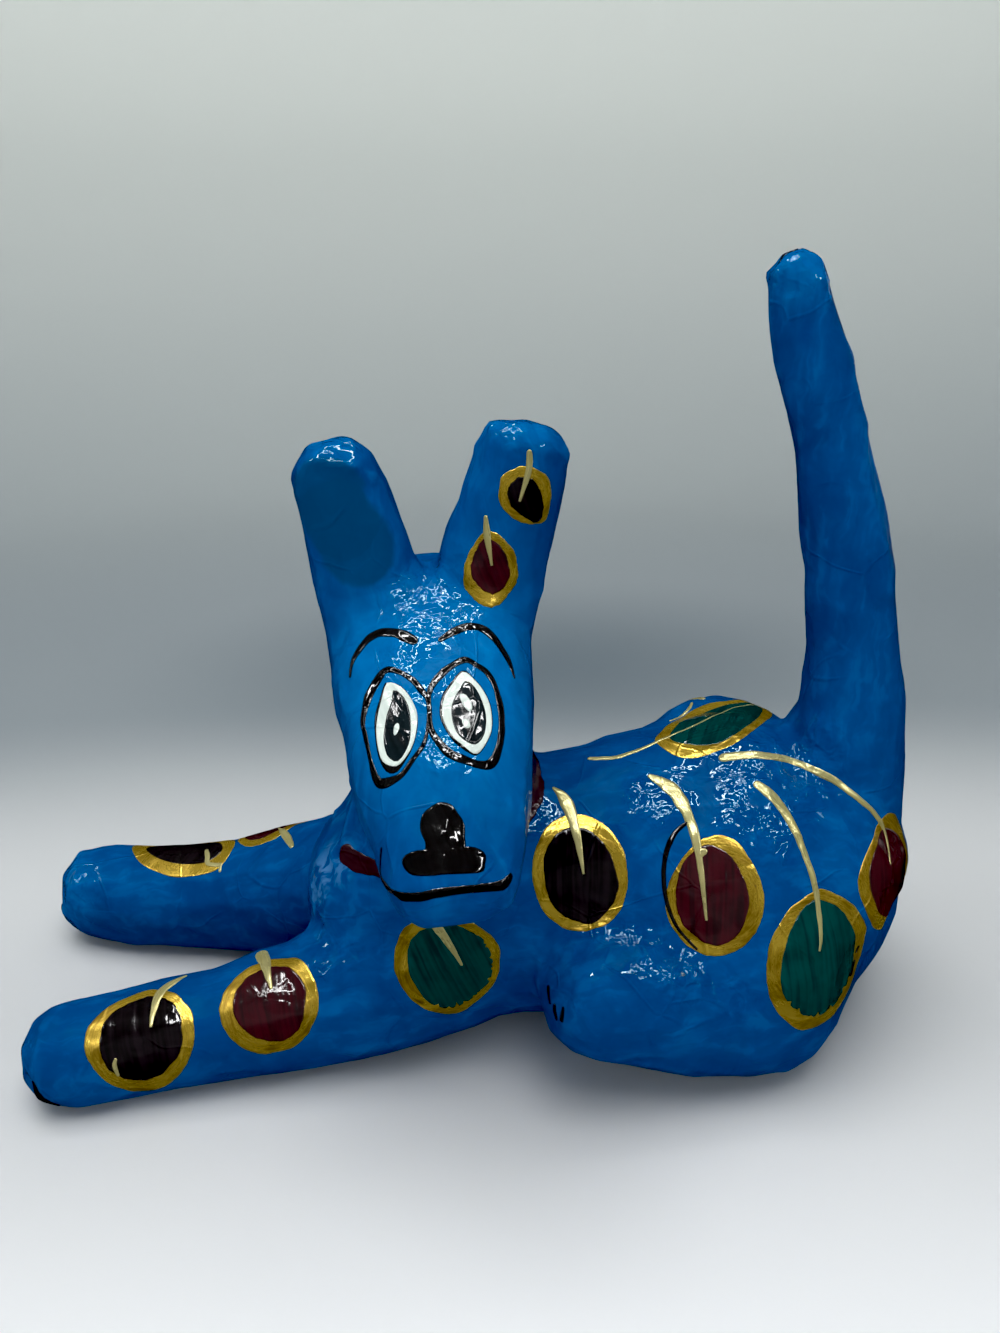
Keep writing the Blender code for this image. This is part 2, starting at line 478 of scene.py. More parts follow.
class Drawn(Outline):
    """An outline through listed points, in millimetres, about a middle of its own."""

    PACE = 0.5

    def __init__(self, points, middle=(0, 0)):
        ends = [Vector((u - middle[0], v - middle[1], 0)) for u, v in points]
        super().__init__([(p.x * MM, p.y * MM) for p in smooth_path(ends, self.PACE, closed=True)])


class Tucked(Outline):
    """An outline drawn in by a little, so that one coat reaches under another."""

    LEAST = 0.5 * MM

    def __init__(self, outline, by):
        super().__init__(outline.points)
        self.by = by

    def reaches(self, angles):
        return [max(reach - self.by, self.LEAST) for reach in super().reaches(angles)]


# ---------------------------------------------------------------- the paper skin

NOISE_SEED = 7
STRIP_SEED = 11
FLAT_REACH = 9 * MM
FINEST_FOLD, BROAD_FOLD, WIDEST_FOLD = 0.0, 3.0, 20.0
# How fine each noise is: about how many of its features a metre holds.
LUMPS, CALM_PATCHES = 34, 24
CRUMPLES, FINE_CRUMPLES, CRUMPLE_DRIFT = 62, 128, 45
STRIP_RAGS, FOLD_DRIFT = 210, 160
STRIP_LENGTHS, STRIP_WIDTHS = (14, 34), (6, 13)
STRIP_LAYERS = 2.0
# The share of the crumples that comes back after flattening, and the passes that smooth the flats
# and that find the ground which the relief stands on.
CRUMPLES_BACK, FLAT_PASSES, GROUND_PASSES = 0.6, 1, 12
# The sole is smooth up to the first height, and as wrinkled as the rest from the second.
SOLE_BELOW = (2 * MM, 9 * MM)


def limb_grain(place):
    """How far the paper's grain runs up rather than along: 1 in the tail, head and ears, 0 in the legs."""
    rise = min(max((place.z - LOW.z) / SIZE.z, 0.0), 1.0)
    return min(max((rise - 0.3) / 0.2, 0.0), 1.0)


def crumpled(place):
    """A crumple of height about -1 to 1: sharp folds, round between, drawn out along the grain."""
    strayed = place + noise.noise_vector(place * CRUMPLE_DRIFT) * (5 * MM)
    upright = limb_grain(place)
    height = 0.0
    for share, stretch in ((upright, Vector((1, 1, 0.4))), (1 - upright, Vector((0.45, 1, 1)))):
        if share > 0:
            ground = strayed * stretch
            broad = 1 - 2.2 * abs(noise.noise(ground * CRUMPLES))
            fine = 1 - 2.2 * abs(noise.noise(ground * FINE_CRUMPLES + Vector((3, 1, 7))))
            height += share * (0.7 * broad + 0.3 * fine)
    return height


def eased(values, low, high):
    """A smooth step from 0 at low to 1 at high."""
    share = np.clip((values - low) / (high - low), 0, 1)
    return share * share * (3 - 2 * share)


def strip_steps(places, normals, settings):
    """The thickness of the paper strips that were pasted on last, at each place."""
    draw = np.random.RandomState(STRIP_SEED)
    steps = np.zeros(len(places))
    ragged = np.array([noise.noise(Vector(p) * STRIP_RAGS) for p in places])
    for _ in range(settings.strips):
        middle = draw.randint(len(places))
        normal = normals[middle]
        heading = draw.normal(size=3) * np.array([1.6, 1.0, 1.0])
        heading -= normal * heading.dot(normal)
        heading /= np.linalg.norm(heading)
        side = np.cross(normal, heading)
        length, width = draw.uniform(*STRIP_LENGTHS) * MM, draw.uniform(*STRIP_WIDTHS) * MM
        offset = places - places[middle]
        edge = np.maximum(abs(offset @ heading) - length, abs(offset @ side) - width) + ragged * 0.9 * MM
        inside = (1 - eased(edge, -0.8 * MM, 0.8 * MM)) * (abs(offset @ normal) < 12 * MM)
        steps += inside * (normals @ normal > 0.2)
    return settings.strip * np.minimum(steps, STRIP_LAYERS)


def fold_heights(places, settings, widths):
    """The folds whose width is in a range of millimetres, at each place: raised edges and grooves."""
    heights = np.zeros(len(places))
    strayed = places + np.array([noise.noise_vector(Vector(p) * FOLD_DRIFT) for p in places]) * 0.8 * MM
    for strength, width, route in FOLDS:
        if not widths[0] <= width < widths[1]:
            continue
        path = smooth_path([in_box(*share) for share in route], 4 * MM)
        nearest = np.full(len(places), np.inf)
        for a, b in zip(path, path[1:]):
            a, run = np.array(a), np.array(b - a)
            share = np.clip((strayed - a) @ run / (run @ run), 0, 1)
            nearest = np.minimum(nearest, np.linalg.norm(strayed - a - share[:, None] * run, axis=1))
        reach = nearest / (width * MM)
        heights += settings.fold * strength * np.exp(-reach ** (2 if strength < 0 else 1.5))
    return heights


def evaluated(form):
    """The mesh of an object with its modifiers applied. The object is removed."""
    bpy.context.view_layer.update()
    mesh = bpy.data.meshes.new_from_object(form.evaluated_get(bpy.context.evaluated_depsgraph_get()))
    bpy.data.objects.remove(form)
    return mesh


def copied_form(name):
    """A new object with a copy of the dog's solid."""
    return added(name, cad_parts[NODE].data.copy())


def pressed_heights(mesh, places, settings):
    """How far each vertex is from its place once the form has been pulled into flat triangles."""
    moved = mesh.copy()
    moved.vertices.foreach_set("co", places.ravel())
    form = added("pressed_form", moved)
    form.modifiers.new("Flats", "DECIMATE").ratio = settings.flats / (2 * len(mesh.polygons))
    pressed = Skin.tree(evaluated(form))
    heights = np.zeros(len(mesh.vertices))
    for k, vertex in enumerate(mesh.vertices):
        start = vertex.co + vertex.normal * FLAT_REACH
        found = pressed.ray_cast(start, -vertex.normal, 2 * FLAT_REACH)[3]
        if found is not None:
            heights[k] = FLAT_REACH - found
    return heights


def eased_out(mesh, heights, passes):
    """Heights averaged with their neighbours' along the mesh's edges."""
    edges = np.zeros(len(mesh.edges) * 2, dtype=np.int64)
    mesh.edges.foreach_get("vertices", edges)
    first, second = edges.reshape(-1, 2).T
    count = np.bincount(first, minlength=len(heights)) + np.bincount(second, minlength=len(heights))
    for _ in range(passes):
        total = (np.bincount(first, heights[second], len(heights))
                 + np.bincount(second, heights[first], len(heights)))
        heights = 0.4 * heights + 0.6 * total / count
    return heights


def dried_heights(mesh, settings):
    """Where each vertex of the dried paper is, and how far it stands over the ground near it."""
    noise.seed_set(NOISE_SEED)
    count = len(mesh.vertices)
    places, normals = np.zeros(count * 3), np.zeros(count * 3)
    mesh.vertices.foreach_get("co", places)
    mesh.vertices.foreach_get("normal", normals)
    places, normals = places.reshape(-1, 3), normals.reshape(-1, 3)
    lumps = np.array([noise.fractal(v.co * LUMPS, 1.0, 2.0, 3) for v in mesh.vertices])
    crumples = np.array([crumpled(v.co) for v in mesh.vertices])
    patches = np.array([noise.noise(v.co * CALM_PATCHES) for v in mesh.vertices])
    calm = 0.3 + 0.7 * eased(patches, -0.35, 0.35)
    heights = settings.lump * lumps + settings.crumple * crumples * calm
    heights += fold_heights(places, settings, (BROAD_FOLD, WIDEST_FOLD))
    pressed = pressed_heights(mesh, places + normals * heights[:, None], settings)
    heights = eased_out(mesh, heights + settings.flatness * (pressed - heights), FLAT_PASSES)
    heights += CRUMPLES_BACK * settings.crumple * crumples * calm + strip_steps(places, normals, settings)
    heights += fold_heights(places, settings, (FINEST_FOLD, BROAD_FOLD))
    relief = heights - eased_out(mesh, heights, GROUND_PASSES)
    on_sole = eased(-normals[:, 2], 0.5, 0.95) * (1 - eased(places[:, 2], *SOLE_BELOW))
    heights *= 1 - on_sole
    places += normals * heights[:, None]
    places[:, 2] = np.maximum(places[:, 2], LOW.z)
    return places, relief


# Folds of the paper: strength, width in millimetres, and points along it as in_box takes them.
FOLDS = (
    (0.8, 2.2, ((36.5, 46, 78.5), (38, 45, 79), (40, 44.5, 79), (41.5, 45, 79), (42.5, 47.5, 79))),
    (0.7, 2.2, ((42.5, 47, 78), (44, 46.5, 74), (45.5, 47.5, 70))),
    (0.7, 2.2, ((36, 46, 75.5), (37, 45.5, 70.5), (37.5, 45, 66), (38, 44.5, 60.5))),
    (-0.6, 4.0, ((38, 44, 64.5), (42.5, 41.5, 64.5), (45.5, 45.5, 67))),
    (0.8, 2.2, ((52.5, 49.5, 80), (54.5, 44.5, 80.5), (56.5, 44, 80.5), (58.5, 45, 80), (60, 48, 79))),
    (0.7, 2.2, ((53, 50, 82), (51.5, 49, 77.5), (50.5, 47.5, 73.5), (49, 48.5, 68.5))),
    (0.7, 2.2, ((60, 48.5, 78.5), (59.5, 48.5, 72.5), (58.5, 48, 66.5), (57, 45.5, 60.5))),
    (0.4, 2.0, ((53, 45, 79.5), (51.5, 45.5, 74.5), (50, 45.5, 70))),
    (1.4, 5.0, ((37.5, 50, 80), (39.5, 50, 81), (41, 50, 80.5))),
    (1.2, 3.0, ((53.5, 50, 82), (54, 46, 81.5))),
    (1.2, 3.0, ((59.5, 49.5, 80.5), (60, 47, 79.5))),
    (0.7, 2.0, ((79, 57.5, 97), (79.5, 53, 98), (81, 53, 99), (82, 54, 99), (83, 54, 98), (83, 52, 96))),
    (-0.9, 1.2, ((79, 55.5, 98), (79.5, 55.5, 99), (81, 56.5, 100))),
    (0.5, 2.5, ((80, 53, 92), (82, 53, 83), (84.5, 53, 70.5), (86, 55, 61.5), (87, 59.5, 48.5))),
    (0.6, 2.5, ((83.5, 52, 94.5), (87.5, 51, 81.5), (90.5, 49.5, 70), (92, 49.5, 65), (93, 49, 57.5),
                (96, 49, 47.5))),
    (-0.8, 1.2, ((83.5, 52, 94), (85, 51.5, 90))),
    (0.8, 3.0, ((79, 54.5, 95), (80, 56.5, 90), (81.5, 55.5, 82.5))),
    (0.8, 3.0, ((83, 53.5, 79), (84, 55, 73), (85.5, 58.5, 66))),
    (0.5, 2.0, ((85, 50, 85.5), (88.5, 51, 79.5))),
    (0.4, 2.0, ((85, 49.5, 77.5), (86, 49, 74.5))),
    (0.3, 1.6, ((83.5, 50.5, 80.5), (87, 50, 80.5))),
    (0.5, 3.0, ((3, 80.5, 11), (6.5, 79, 12), (14.5, 76.5, 13), (23.5, 73, 15), (32.5, 66.5, 19))),
    (0.5, 2.5, ((1, 81.5, 6.5), (3, 78, 5), (12, 75.5, 2.5), (21, 72, 3))),
    (0.9, 2.5, ((2.5, 92, 12.5), (3, 83, 12.5), (2.5, 80, 10.5), (1, 82, 4.5))),
    (-0.6, 1.5, ((5.5, 78.5, 11), (7, 76.5, 10))),
    (-0.6, 1.5, ((7, 76, 8), (8.5, 75, 7))),
    (0.4, 4.0, ((13.5, 73, 6.5), (19, 71.5, 10), (26.5, 68, 13))),
    (0.9, 2.5, ((8.5, 36.5, 12), (7.5, 30.5, 11.5), (7, 26.5, 9), (7.5, 24.5, 5))),
    (0.5, 2.5, ((8.5, 25, 4), (12.5, 26, 2.5), (21.5, 27.5, 4.5), (35.5, 30.5, 5.5))),
    (0.35, 1.3, ((12, 27.5, 10), (14.5, 28.5, 11), (18.5, 30.5, 11.5), (20.5, 30.5, 11.5))),
    (0.35, 1.2, ((28, 33, 13.5), (30.5, 35, 14.5), (33, 37, 15.5))),
    (0.9, 2.2, ((40.5, 25.5, 47), (41.5, 17, 44.5), (43, 8, 42), (44.5, 2, 42.5), (45.5, 1.5, 40))),
    (0.9, 2.2, ((55, 15.5, 49.5), (54.5, 11, 47.5), (54.5, 7.5, 44.5), (54, 3.5, 43), (53, 2.5, 40.5))),
    (1.4, 1.8, ((37.5, 62, 36), (37, 60, 29.5), (37, 47, 27))),
    (1.2, 1.6, ((39, 60, 38), (38.5, 52.5, 31), (38, 49.5, 29))),
    (0.5, 3.0, ((37, 58.5, 30), (33.5, 74, 21), (31.5, 72.5, 20))),
    (0.6, 2.0, ((37.5, 45.5, 26.5), (36.5, 45, 23.5), (35.5, 45, 20))),
    (0.3, 1.2, ((44.5, 8.5, 48.5), (46.5, 9.5, 50))),
    (0.3, 1.2, ((50, 9.5, 50), (51.5, 8.5, 49), (53, 8, 48))),
    (0.5, 2.5, ((39.5, 35.5, 56.5), (40.5, 24.5, 52.5), (40.5, 26, 47))),
    (0.5, 2.5, ((56.5, 43.5, 60), (56.5, 32, 54), (55, 16, 50), (54.5, 8.5, 45.5))),
    (0.4, 2.0, ((40, 42.5, 65.5), (43, 41, 64), (45, 42, 64.5))),
    (0.4, 2.0, ((53, 38.5, 62), (56.5, 43, 63), (58, 47, 64))),
    (0.6, 3.0, ((59.5, 30, 20.5), (63, 28.5, 22.5), (68, 25, 22), (70, 22.5, 21), (71.5, 19.5, 19))),
    (0.6, 2.5, ((58.5, 26.5, 17), (59, 22, 16), (61, 17.5, 14), (66, 17, 10.5))),
    (0.6, 2.5, ((61, 17.5, 14), (68.5, 16.5, 11.5), (74.5, 18, 7), (83.5, 22.5, 4), (88.5, 26, 9))),
    (0.4, 3.0, ((60, 28, 20.5), (62, 19.5, 20), (69.5, 16.5, 15))),
    (-0.5, 3.0, ((72, 28, 24), (73, 24, 20.5), (75, 20.5, 18.5))),
    (0.5, 3.0, ((90, 27.5, 24.5), (92, 29, 20), (91, 29.5, 13))),
    (-5.5, 9.0, ((95.5, 34.5, 21), (95, 33, 19), (94.3, 32.5, 17))),
    (-5.5, 9.0, ((98, 42, 21), (97.3, 40, 19), (96.5, 39, 17))),
    (1.3, 2.4, ((36.5, 45.5, 76), (37, 45, 78), (38, 45, 79), (39.5, 44.5, 79), (41.5, 44.5, 78.5),
                (42.5, 45.5, 77.5))),
    (0.8, 2.4, ((42.5, 45.5, 77.5), (43, 45, 74.5), (44, 45, 71.5), (45, 45, 69))),
    (-1.2, 7.0, ((39, 43.5, 76), (40, 43, 73), (41, 42.5, 70))),
    (0.8, 2.2, ((79, 57.5, 97), (79.5, 53, 97.5), (81, 51.5, 97.5), (83, 52.5, 96.5))),
    (0.9, 1.8, ((83.5, 52, 95), (84, 51, 92), (86, 53, 89), (86.5, 51.5, 85.5), (88.5, 52, 81))),
    (0.7, 2.2, ((80, 55, 91), (81, 54.5, 85.5), (82.5, 53, 80))),
    (0.4, 1.6, ((49, 11, 51), (50.5, 9, 49.5), (51, 6.5, 47.5))),
    (0.4, 1.6, ((50.5, 11.5, 51), (49, 8.5, 49), (48, 6, 47.5))),
    (0.4, 1.8, ((50.5, 8, 49), (52, 5, 46), (52.5, 3, 44.5))),
    (0.5, 2.0, ((54.5, 13, 48.5), (54, 7.5, 46), (53, 2.5, 43.5))),
    (0.4, 1.6, ((39.5, 37.5, 58), (40, 31.5, 55), (40, 31, 48))),
)

# The head is paler, and painted shade darkens the dish of the left-hand ear. Each reach is how far from the
# place the change of colour starts, and then where it is complete.
HEAD_MIDDLE = (48.0, 22.0, 62.0)
HEAD_REACH = (66 * MM, 22 * MM)
EAR_DISH = ((38.8, 43.0, 75.6), (39.6, 43.0, 73.0), (41.2, 43.0, 69.8))
DISH_REACH = (13.3 * MM, 10.8 * MM)

BLUE_GLOSS = (0.6, 0.9, 1.0)
DRAGGED_BLUE = (0.0, 0.045, 0.17)
# Painted shade in the creases of the paper.
CREASE_SHADE_BLUE = (0.0, 0.035, 0.16)
# Painted shade in the dish of the left-hand ear.
DISH_SHADE_BLUE = (0.0, 0.06, 0.155)
# Painted reflection on the pleats beside the neck.
PLEAT_SHEEN_BLUE = (0.1, 0.24, 0.48)

# Places where the paper puckered and the varnish gathered, and how far each reaches in millimetres.
PUCKERED = (
    ((81.0, 46.0, 40.0), 33), ((80.5, 34.0, 35.5), 22), ((86.0, 44.0, 42.0), 20),
    ((64.0, 29.0, 22.0), 20), ((70.0, 25.0, 21.5), 20), ((77.0, 20.0, 17.5), 12),
    ((48.0, 40.0, 65.0), 22), ((47.0, 28.0, 60.0), 20), ((48.3, 15.0, 53.8), 12),
    ((34.0, 48.0, 22.0), 14), ((58.0, 44.0, 34.0), 12), ((70.5, 43.5, 37.2), 17),
    ((36.6, 39.4, 17.3), 15), ((71.5, 20.5, 19.5), 13),
)
# The ends of the ears, tail and forelegs: as puckered and varnished, and paler with a painted sheen.
ENDS = (
    ((39.5, 47.0, 82.5), 16), ((56.5, 47.0, 84.0), 17), ((81.0, 54.0, 98.0), 17),
    ((2.0, 25.0, 9.0), 22), ((2.0, 82.0, 9.0), 22),
)
# Where a painted reflection lies pale on the pleats beside the neck, in brushed streaks.
PLEAT_SHEEN = (((36.3, 47.0, 28.0), 14), ((34.4, 50.0, 22.9), 15), ((36.0, 60.0, 33.0), 14))


def nearness(mix, place, spots):
    """1 near a place in the list, falling to 0 at its reach, and more where two overlap."""
    total = 0.0
    for share, reach in spots:
        total = total + mix.step(mix.far(place, tuple(in_box(*share))), reach * MM, 0.4 * reach * MM)
    return total


def skin_material(paints):
    """Blue enamel, brushed on thick and thin over wrinkled paper, and glossy only where it is varnished."""
    # Its colour also holds painted light: a painted highlight on ridges, painted shade in creases and in the
    # dish of the left-hand ear, and a painted sheen on the ends and on the pleats beside the neck.
    mix = Mixture("blue_enamel")
    place = mix.place()
    strayed = mix.strayed(place, 70, 6 * MM)
    rise = mix.node("ShaderNodeSeparateXYZ", {}, {"Vector": place}, "Z")
    upright = mix.step(rise, LOW.z + 0.3 * SIZE.z, LOW.z + 0.5 * SIZE.z)
    cloud = mix.noise(strayed, 38, 5.0, 0.6)
    drag = mix.noise(mix.stretched(strayed, (0.15, 1.0, 0.6)), 330, 2.0)
    drag_up = mix.noise(mix.stretched(strayed, (1.0, 0.8, 0.1)), 280, 2.0)
    brushed = mix.blend(upright, drag, drag_up)
    fold = mix.attribute("relief")
    colour = mix.tint(mix.step(cloud, 0.36, 0.62), paints.deep_blue, paints.blue)
    colour = mix.tint(mix.step(cloud * 0.4 + brushed * 0.6, 0.5, 0.64) * 0.3, colour, paints.pale_blue)
    colour = mix.tint(mix.step(brushed, 0.5, 0.36) * 0.25, colour, DRAGGED_BLUE)
    # Painted light on the relief: a painted highlight pales the ridges and painted shade darkens the creases.
    colour = mix.tint(mix.step(fold, 0.15, 0.6) * 0.35, colour, paints.pale_blue)
    colour = mix.tint(mix.step(fold, -0.15, -0.6) * 0.55, colour, CREASE_SHADE_BLUE)
    taut = mix.step(nearness(mix, place, PUCKERED + ENDS), 0.0, 0.5)
    varnished = taut * mix.step(mix.noise(place, 60, 2.0) + taut * 0.12, 0.5, 0.53)
    rough = 0.03 + mix.step(cloud, 0.45, 0.75) * 0.05 + brushed * 0.02
    head = mix.step(mix.far(place, tuple(in_box(*HEAD_MIDDLE))), *HEAD_REACH)
    colour = mix.tint(head * (0.45 + brushed * 0.6), colour, paints.pale_blue)
    # Painted sheen: the ends of the ears, tail and forelegs are paler in brushed streaks.
    colour = mix.tint(nearness(mix, place, ENDS) * (0.1 + brushed * 0.7), colour, paints.pale_blue)
    ragged = mix.strayed(place, 130, 2 * MM)
    # Painted shade: the dish of the left-hand ear is darker.
    dish = sum(mix.step(mix.far(ragged, tuple(in_box(*share))), *DISH_REACH) for share in EAR_DISH)
    colour = mix.tint(dish * 0.9, colour, DISH_SHADE_BLUE)
    # Painted reflection: a pale sheen in brushed streaks on the pleats beside the neck.
    wear_and_sheen = nearness(mix, place, PLEAT_SHEEN) * mix.step(brushed, 0.42, 0.6)
    colour = mix.tint(wear_and_sheen * 0.45, colour, PLEAT_SHEEN_BLUE)
    height = wrinkles(mix, place) + (brushed - 0.5) * 0.05
    return mix.surface(colour, rough, height, gloss=BLUE_GLOSS, varnished=varnished)


class DOG_OT_skin(bpy.types.Operator):
    """Lay the paper skin over the dog's form and paint it blue"""

    bl_idname = "dog.skin"
    bl_label = "Paper Skin"

    def execute(self, context):
        settings = context.scene.dog_paper
        form = copied_form("paper_form")
        cells = form.modifiers.new("Cells", "REMESH")
        cells.mode = "VOXEL"
        cells.voxel_size = settings.cell
        rounding = form.modifiers.new("Rounding", "SMOOTH")
        rounding.factor = 0.5
        rounding.iterations = settings.rounding
        smooth = evaluated(form)
        dried = smooth.copy()
        dried.name = "dog_skin"
        places, relief = dried_heights(smooth, settings)
        dried.vertices.foreach_set("co", places.ravel())
        dried.attributes.new("relief", "FLOAT", "POINT").data.foreach_set("value", relief / MM)
        dried.shade_smooth()
        dried.materials.clear()
        dried.materials.append(skin_material(context.scene.dog_paint))
        dried.update()
        skin = added("dog_skin", dried)
        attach(skin, BODY)
        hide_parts(NODE)
        Skin.made = Skin(smooth, dried)
        return {"FINISHED"}


# ---------------------------------------------------------------- material maths

ENAMEL_IOR = 1.34
DULL_IOR = 1.12
DULL_ROUGHNESS = 0.35


class Wire:
    """A value in a material, so that its maths can be written as an expression."""

    def __init__(self, mixture, socket):
        self.mixture = mixture
        self.socket = socket

    def maths(self, operation, first, second):
        return self.mixture.node("ShaderNodeMath", {"operation": operation}, {0: first, 1: second})

    def __add__(self, other):
        return self.maths("ADD", self, other)

    def __sub__(self, other):
        return self.maths("SUBTRACT", self, other)

    def __rsub__(self, other):
        return self.maths("SUBTRACT", other, self)

    def __mul__(self, other):
        return self.maths("MULTIPLY", self, other)

    __radd__ = __add__
    __rmul__ = __mul__


class Mixture:
    """A material and the nodes it is mixed from."""

    def __init__(self, name):
        self.material = bpy.data.materials.new(name)
        self.material.use_nodes = True
        self.tree = self.material.node_tree
        self.tree.nodes.clear()

    def node(self, kind, settings=None, sockets=None, out=0):
        """Any node: its settings are set first, then its sockets take values or wires."""
        made = self.tree.nodes.new(kind)
        for name, value in (settings or {}).items():
            setattr(made, name, value)
        for name, value in (sockets or {}).items():
            if isinstance(value, Wire):
                self.tree.links.new(value.socket, made.inputs[name])
            else:
                made.inputs[name].default_value = value
        return None if out is None else Wire(self, made.outputs[out])

    def place(self):
        return self.node("ShaderNodeTexCoord", out="Object")

    def attribute(self, name, out="Fac"):
        return self.node("ShaderNodeAttribute", {"attribute_name": name}, out=out)

    def noise(self, place, scale, detail=2.0, roughness=0.5, out="Fac"):
        """Noise between 0 and 1. The scale is about how many of its features a metre holds."""
        return self.node("ShaderNodeTexNoise", {}, {
            "Vector": place, "Scale": scale, "Detail": detail, "Roughness": roughness}, out)

    def cells(self, place, scale):
        """How far a place is from the nearest edge of a net of uneven cells."""
        return self.node("ShaderNodeTexVoronoi", {"feature": "DISTANCE_TO_EDGE"}, {
            "Vector": place, "Scale": scale})

    def vector(self, operation, first, second):
        return self.node("ShaderNodeVectorMath", {"operation": operation}, {0: first, 1: second})

    def far(self, place, point):
        """How far a place is from a point."""
        return self.node("ShaderNodeVectorMath", {"operation": "DISTANCE"}, {0: place, 1: point}, "Value")

    def stretched(self, place, shares):
        return self.vector("MULTIPLY", place, shares)

    def strayed(self, place, scale, reach):
        """The place moved about at random, by up to about the reach."""
        push = self.vector("SUBTRACT", self.noise(place, scale, 2.0, out="Color"), (0.5, 0.5, 0.5))
        return self.vector("ADD", place, self.vector("MULTIPLY", push, (2 * reach,) * 3))

    def step(self, value, low, high):
        """A smooth step of the value from 0 at low to 1 at high."""
        return self.node("ShaderNodeMapRange", {"interpolation_type": "SMOOTHSTEP"}, {
            "Value": value, "From Min": low, "From Max": high})

    def fold(self, value):
        """How far the value is from a half: a sharp valley, or a crest if it is taken away."""
        return self.node("ShaderNodeMath", {"operation": "ABSOLUTE"}, {0: value - 0.5})

    def blend(self, share, first, second):
        return self.node("ShaderNodeMix", {"data_type": "FLOAT"}, {0: share, 2: first, 3: second})

    def tint(self, share, first, second):
        """One colour over another."""
        first, second = (c if isinstance(c, Wire) else (*c, 1.0) for c in (first, second))
        return self.node("ShaderNodeMix", {"data_type": "RGBA"}, {0: share, 6: first, 7: second}, 2)

    def surface(self, colour, rough, height, metal=0.0, ior=ENAMEL_IOR, gloss=(1.0, 1.0, 1.0),
                varnished=None):
        """The finished material. The height is in millimetres.

        Where varnished is given, it is 1 under varnish and 0 where the enamel dried dull.
        """
        normal = self.node("ShaderNodeBump", {}, {"Strength": 1.0, "Distance": MM, "Height": height})
        shared = {"Base Color": colour, "Normal": normal, "Specular Tint": (*gloss, 1.0)}
        shader = self.node("ShaderNodeBsdfPrincipled", {}, {
            **shared, "Roughness": rough, "Metallic": metal, "IOR": ior})
        if varnished is not None:
            dull = self.node("ShaderNodeBsdfPrincipled", {}, {
                **shared, "Roughness": DULL_ROUGHNESS, "IOR": DULL_IOR})
            shader = self.node("ShaderNodeMixShader", {}, {0: varnished, 1: dull, 2: shader})
        self.node("ShaderNodeOutputMaterial", {}, {"Surface": shader}, None)
        return self.material


# How high each kind of wrinkle stands, in millimetres, and how much of the fine ones calm paper keeps.
CREASE, PUCKER, CRINKLE, PLEAT, SLACK, RUMPLE = 0.08, 1.7, 0.5, 0.2, 0.5, 1.2
CALM_SHARE = 0.12


def wrinkles(mix, place):
    """The height of the wrinkles of tissue paper under every coat, in millimetres."""
    busy = CALM_SHARE + nearness(mix, place, PUCKERED + ENDS) * (1 - CALM_SHARE)
    strayed = mix.strayed(place, 75, 4 * MM)
    drawn = mix.stretched(strayed, (0.75, 1.0, 0.65))
    net = mix.cells(mix.strayed(place, 30, 9 * MM), 36)
    pleats = (1 - mix.step(net, 0.0, 0.03)) * mix.step(mix.noise(place, 45, 1.0), 0.42, 0.55)
    rumples = mix.fold(mix.noise(drawn, 55, 2.0))
    crinkles = mix.fold(mix.noise(strayed, 190, 1.0))
    creases = 1 - mix.step(mix.cells(drawn, 90), 0.0, 0.06)
    puckers = mix.noise(strayed, 150, 2.0, 0.4)
    slack = mix.noise(place, 105, 1.0)
    fine = creases * CREASE + puckers * PUCKER - crinkles * CRINKLE
    return fine * busy + pleats * PLEAT + slack * SLACK - rumples * RUMPLE


def paint_material(name, colour, thinned, shine=0.04, metal=0.0, streak=0.5):
    """A brushed enamel: its colour, and the colour where the brush left it thin."""
    mix = Mixture(name)
    place = mix.place()
    stroke = mix.attribute("stroke", "Vector")
    streaks = mix.noise(mix.stretched(stroke, (30, 30, 600)), 1.0, 1.5, 0.5)
    patches = mix.noise(place, 110, 3.0, 0.6)
    thin = mix.step(streaks * 0.65 + patches * 0.35, 0.4, 0.66) * streak
    shade = mix.tint(thin, colour, thinned)
    height = wrinkles(mix, place) * 0.7 + (streaks - 0.5) * 0.05
    return mix.surface(shade, shine + thin * 0.12, height, metal)


# ---------------------------------------------------------------- painted spots

Spot = namedtuple("Spot", "name share gold fill colour stem")

